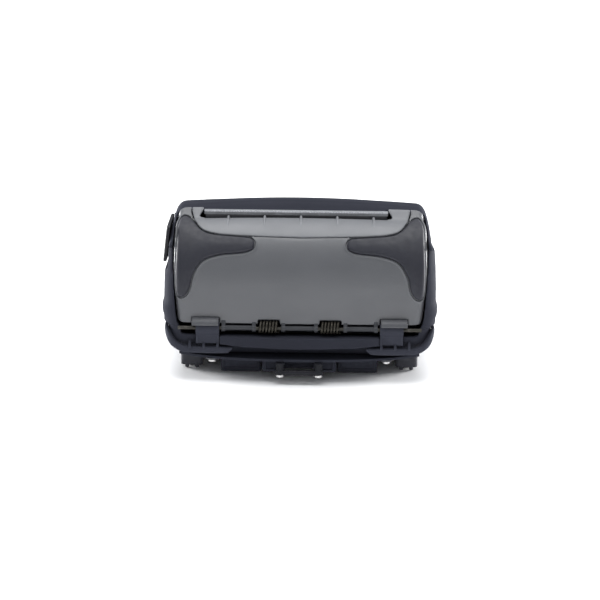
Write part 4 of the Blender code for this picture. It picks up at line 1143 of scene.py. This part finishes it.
def display_marks():
    """Three plain bars, a battery and a signal staircase on the display, all generic."""
    left, foot = -36, 12.8
    shapes = [box_outline((left, down), (left + 26 - shorter, down + 1.6))
              for down, shorter in ((16, 0), (21, 6), (26, 12))]
    shapes.append(ring_box((-4.5, 10.4), (-0.5, 12.6), 0.4))
    for bar in range(4):
        x = -38 + bar * 1.7
        shapes.append(box_outline((x, foot - 0.7 * (bar + 1)), (x + 1.1, foot)))
    return merged(*[prism("Z", shape, -4.9, -4.75) for shape in shapes])


def make_display():
    low, high = WINDOW
    outer = rounded_rectangle((low[0] - 2.6, low[1] - 2.2), (high[0] + 2.6, high[1] + 2.2), 3, 8)
    inner = rounded_rectangle(*grown(low, high, 0.2), 1.4, 8)
    rows = [(outer, -0.95), (outer, -0.5), (offset(outer, -0.35), -0.2), (offset(inner, 0.6), -0.2),
            (inner, -0.45), (inner, -2.2), (outer, -2.2)]
    bm = bmesh.new()
    made = [[bm.verts.new((x, y, z)) for x, y in ring] for ring, z in rows]
    for a, b in zip(made, made[1:] + made[:1]):
        for k in range(len(a)):
            after = (k + 1) % len(a)
            bm.faces.new((a[k], a[after], b[after], b[k]))
    piece("display_surround", on_panel(bm), "inner", "body")
    lcd = panel_slab(*grown(low, high, 1.6), -7.3, -4.9, 0.8)
    piece("display_cell", lcd, "screen", "body", slot="inner", replaces=("lcd_module",), bevel=0.2)
    piece("display_marks", on_panel(display_marks()), "shadow", "body")
    lens = on_panel(turned("Z", (50, 10.4), [(-1.4, 1.3), (-0.7, 1.3), (-0.45, 1), (-0.35, 0.3)], 24))
    piece("status_lens", lens, "lens", "body")


def make_battery():
    low, high = box_mm("battery_pack")
    pack = block(low, (high[0], 72.9, high[2]))
    cuts = [block((-9, 70.2, 31.4), (9, 80, 42))]
    for index in range(6):
        for side, _ in SIDES:
            spot = side * (30 - index * 3.4)
            cuts.append(block((spot - 0.7, 72.2, 21), (spot + 0.7, 80, 34.8)))
    piece("battery_body", pack, "housing", "battery", replaces=("battery_pack",), cuts=cuts, bevel=0.45)
    low, high = box_mm("battery_latch")
    ridges = [block((low[0] + 1.2, 72.6, 34.1 + k * 0.95), (high[0] - 1.2, 80, 34.55 + k * 0.95))
              for k in range(3)]
    piece("battery_release_tab", block(low, (high[0], 73, high[2])), "key", "battery_release",
          replaces=("battery_latch",), cuts=ridges, bevel=0.25)


def make_port_cover():
    low, high = box_mm("port_cover")
    outline = rounded_rectangle(low[1:], high[1:], 1.8, 8)
    face = high[0]
    rows = ((low[0], 0), (face - 0.4, 0), (face - 0.1, 0.3), (face, 0.7))
    rings = [[(x, y, z) for y, z in offset(outline, -inset)] for x, inset in rows]
    grooves = [block((face - 0.35, y, 49.4), (face + 1, y + 0.8, 57.6)) for y in (24.6, 26.4, 28.2)]
    piece("port_flap_body", loft(rings), "rubber", "port_flap", replaces=("port_cover",), cuts=grooves)
    mark = prism("X", ring_outline((39, 53.6), 1.9, 0.5, -70, 250), face - 0.08, face - 0.01)
    piece("port_flap_mark", mark, "mark", "port_flap")


def make_tear_bar():
    """The serrated edge that labels are torn against."""
    low, high = box_mm("tear_bar")
    front, rear = high[1], low[1]
    pitch, tooth = 1.6, 0.35
    outline = []
    for index in range(int((high[0] - low[0]) / pitch)):
        x = low[0] + index * pitch
        outline += [(x, rear + tooth), (x + pitch / 2, rear)]
    outline += [(high[0], rear + tooth), (high[0], front), (low[0], front)]
    piece("tear_blade", prism("Z", outline, high[2] - 1.1, high[2] - 0.3), "aluminium", "body",
          replaces=("tear_bar",))
    guide = block((low[0] + 0.6, rear + 1.5, low[2] - 4.9), (high[0] - 0.4, rear + 2.1, low[2] + 0.2))
    piece("label_guide", guide, "cap", "body", bevel=0.12, segments=2)
    section = [(rear + 0.5, low[2]), (front, low[2]), (front, high[2]), (rear + 1, high[2]),
               (rear + 0.6, high[2] - 0.3)]
    piece("tear_carrier", prism("X", section, low[0], high[0]), "bezel", "body", bevel=0.15, segments=2)


# (look, edge radius, names) of the CAD nodes that stay as they are
KEPT_NODES = (
    ("pin", 0.25, "hinge_pin"), ("pin", 0.2, "latch_shaft"), ("steel", 0.1, "motor_pinion"),
    ("steel", 0.15, "usb_socket"), ("steel", 0.2, "platen_shaft"), ("steel", 0.3, "guide_rail"),
    ("steel", 0.5, "stepper_motor"), ("rubber", 0.4, "platen_roller"), ("ceramic", 0.3, "print_head"),
    ("aluminium", 0.25, "head_heatsink"), ("glass", 0.25, "lcd_window"), ("inner", 0.25, "dc_socket"),
    ("gear", 0.12, "platen_gear", "idler_gear_upper", "idler_gear_lower"),
    ("board", 0.1, "keypad_board", "main_board"),
    ("inner", 0.3, "platen_bracket_left", "platen_bracket_right"),
    ("inner", 0.3, "chassis_plate_left", "chassis_plate_right"),
    ("inner", 0.4, "media_cradle", "media_sensor", "media_guide_left", "media_guide_right"),
)


def dress_cad_nodes():
    """The CAD nodes that stay get the finished materials and a small edge radius."""
    for look, width, *names in KEPT_NODES:
        for name in names:
            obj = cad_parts[name]
            for held in obj.material_slots:
                held.material = LOOKS[look]
            if not obj.material_slots:
                obj.data.materials.append(LOOKS[look])
            add_bevel(obj, width, 2, 40)


# ---------------------------------------------------------------- stage

CAMERA = (0.0, -965.9, 303.8)
AIM = (0.0, 0.0, 30.2)
LENS = 98.3
SENSOR = 36.0
ROLL = 0.75


def added(name, data):
    """A new object in the scene that holds this camera or light."""
    obj = bpy.data.objects.new(name, data)
    bpy.context.scene.collection.objects.link(obj)
    return obj


def make_camera():
    data = bpy.data.cameras.new("camera")
    data.lens = LENS
    data.sensor_width = SENSOR
    data.clip_end = 30.0
    obj = added("camera", data)
    obj.location = Vector(CAMERA) * MM
    aim = (Vector(AIM) - Vector(CAMERA)).to_track_quat("-Z", "Y").to_matrix().to_4x4()
    obj.rotation_euler = (aim @ Matrix.Rotation(math.radians(ROLL), 4, "Z")).to_euler()
    bpy.context.scene.camera = obj
    bpy.context.scene.view_settings.view_transform = "Standard"


def make_floor():
    bm = bmesh.new()
    bmesh.ops.create_grid(bm, x_segments=2, y_segments=2, size=12000.0)
    bmesh.ops.translate(bm, verts=bm.verts, vec=(0, 0, -0.05))
    floor = to_object("floor", bm)
    look = Look("floor_paper")
    tone = look.mix(look.noise(3.0), (0.94, 0.94, 0.945), (0.96, 0.96, 0.96))
    floor.data.materials.append(look.finish(tone, 0.9))


def make_world():
    """A pale studio, brighter overhead than near the horizon."""
    world = bpy.data.worlds.new("studio")
    bpy.context.scene.world = world
    world.use_nodes = True
    nodes, links = world.node_tree.nodes, world.node_tree.links
    background = nodes["Background"]
    background.inputs["Color"].default_value = (0.93, 0.96, 1.0, 1.0)
    direction = nodes.new("ShaderNodeTexCoord")
    parts = nodes.new("ShaderNodeSeparateXYZ")
    ramp = nodes.new("ShaderNodeMapRange")
    ramp.interpolation_type = "SMOOTHSTEP"
    for name, value in (("From Min", 0.25), ("From Max", 0.95), ("To Min", 0.28), ("To Max", 0.85)):
        ramp.inputs[name].default_value = value
    links.new(direction.outputs["Generated"], parts.inputs[0])
    links.new(parts.outputs["Z"], ramp.inputs["Value"])
    links.new(ramp.outputs["Result"], background.inputs["Strength"])


def area_light(name, place, aim, size, energy):
    data = bpy.data.lights.new(name, "AREA")
    data.shape = "RECTANGLE"
    data.size, data.size_y = size
    data.energy = energy
    obj = added(name, data)
    obj.location = place
    obj.rotation_euler = (Vector(aim) - Vector(place)).to_track_quat("-Z", "Y").to_euler()


def make_lights():
    """A broad sun overhead, a strip behind each side and a low fill. Their places are in metres."""
    sun = bpy.data.lights.new("overhead", "SUN")
    sun.energy = 2.5
    sun.angle = math.radians(48.0)
    added("overhead", sun).rotation_euler = (math.radians(-8.0), 0.0, 0.0)
    for side, name in SIDES:
        area_light(f"strip_{name}", (side * 0.62, 0.28, 0.15), (0.0, 0.0, 0.05), (0.3, 0.3), 8.0)
    area_light("front_fill", (0.0, -1.3, 0.07), (0.0, 0.0, 0.03), (1.2, 0.14), 2.0)


make_camera()
make_floor()
make_world()
make_lights()
make_tub()
make_housing()
make_underside()
make_strap_bar()
make_bumpers()
make_door()
make_hinge()
make_lever()
make_keys()
make_display()
make_battery()
make_port_cover()
make_tear_bar()
dress_cad_nodes()
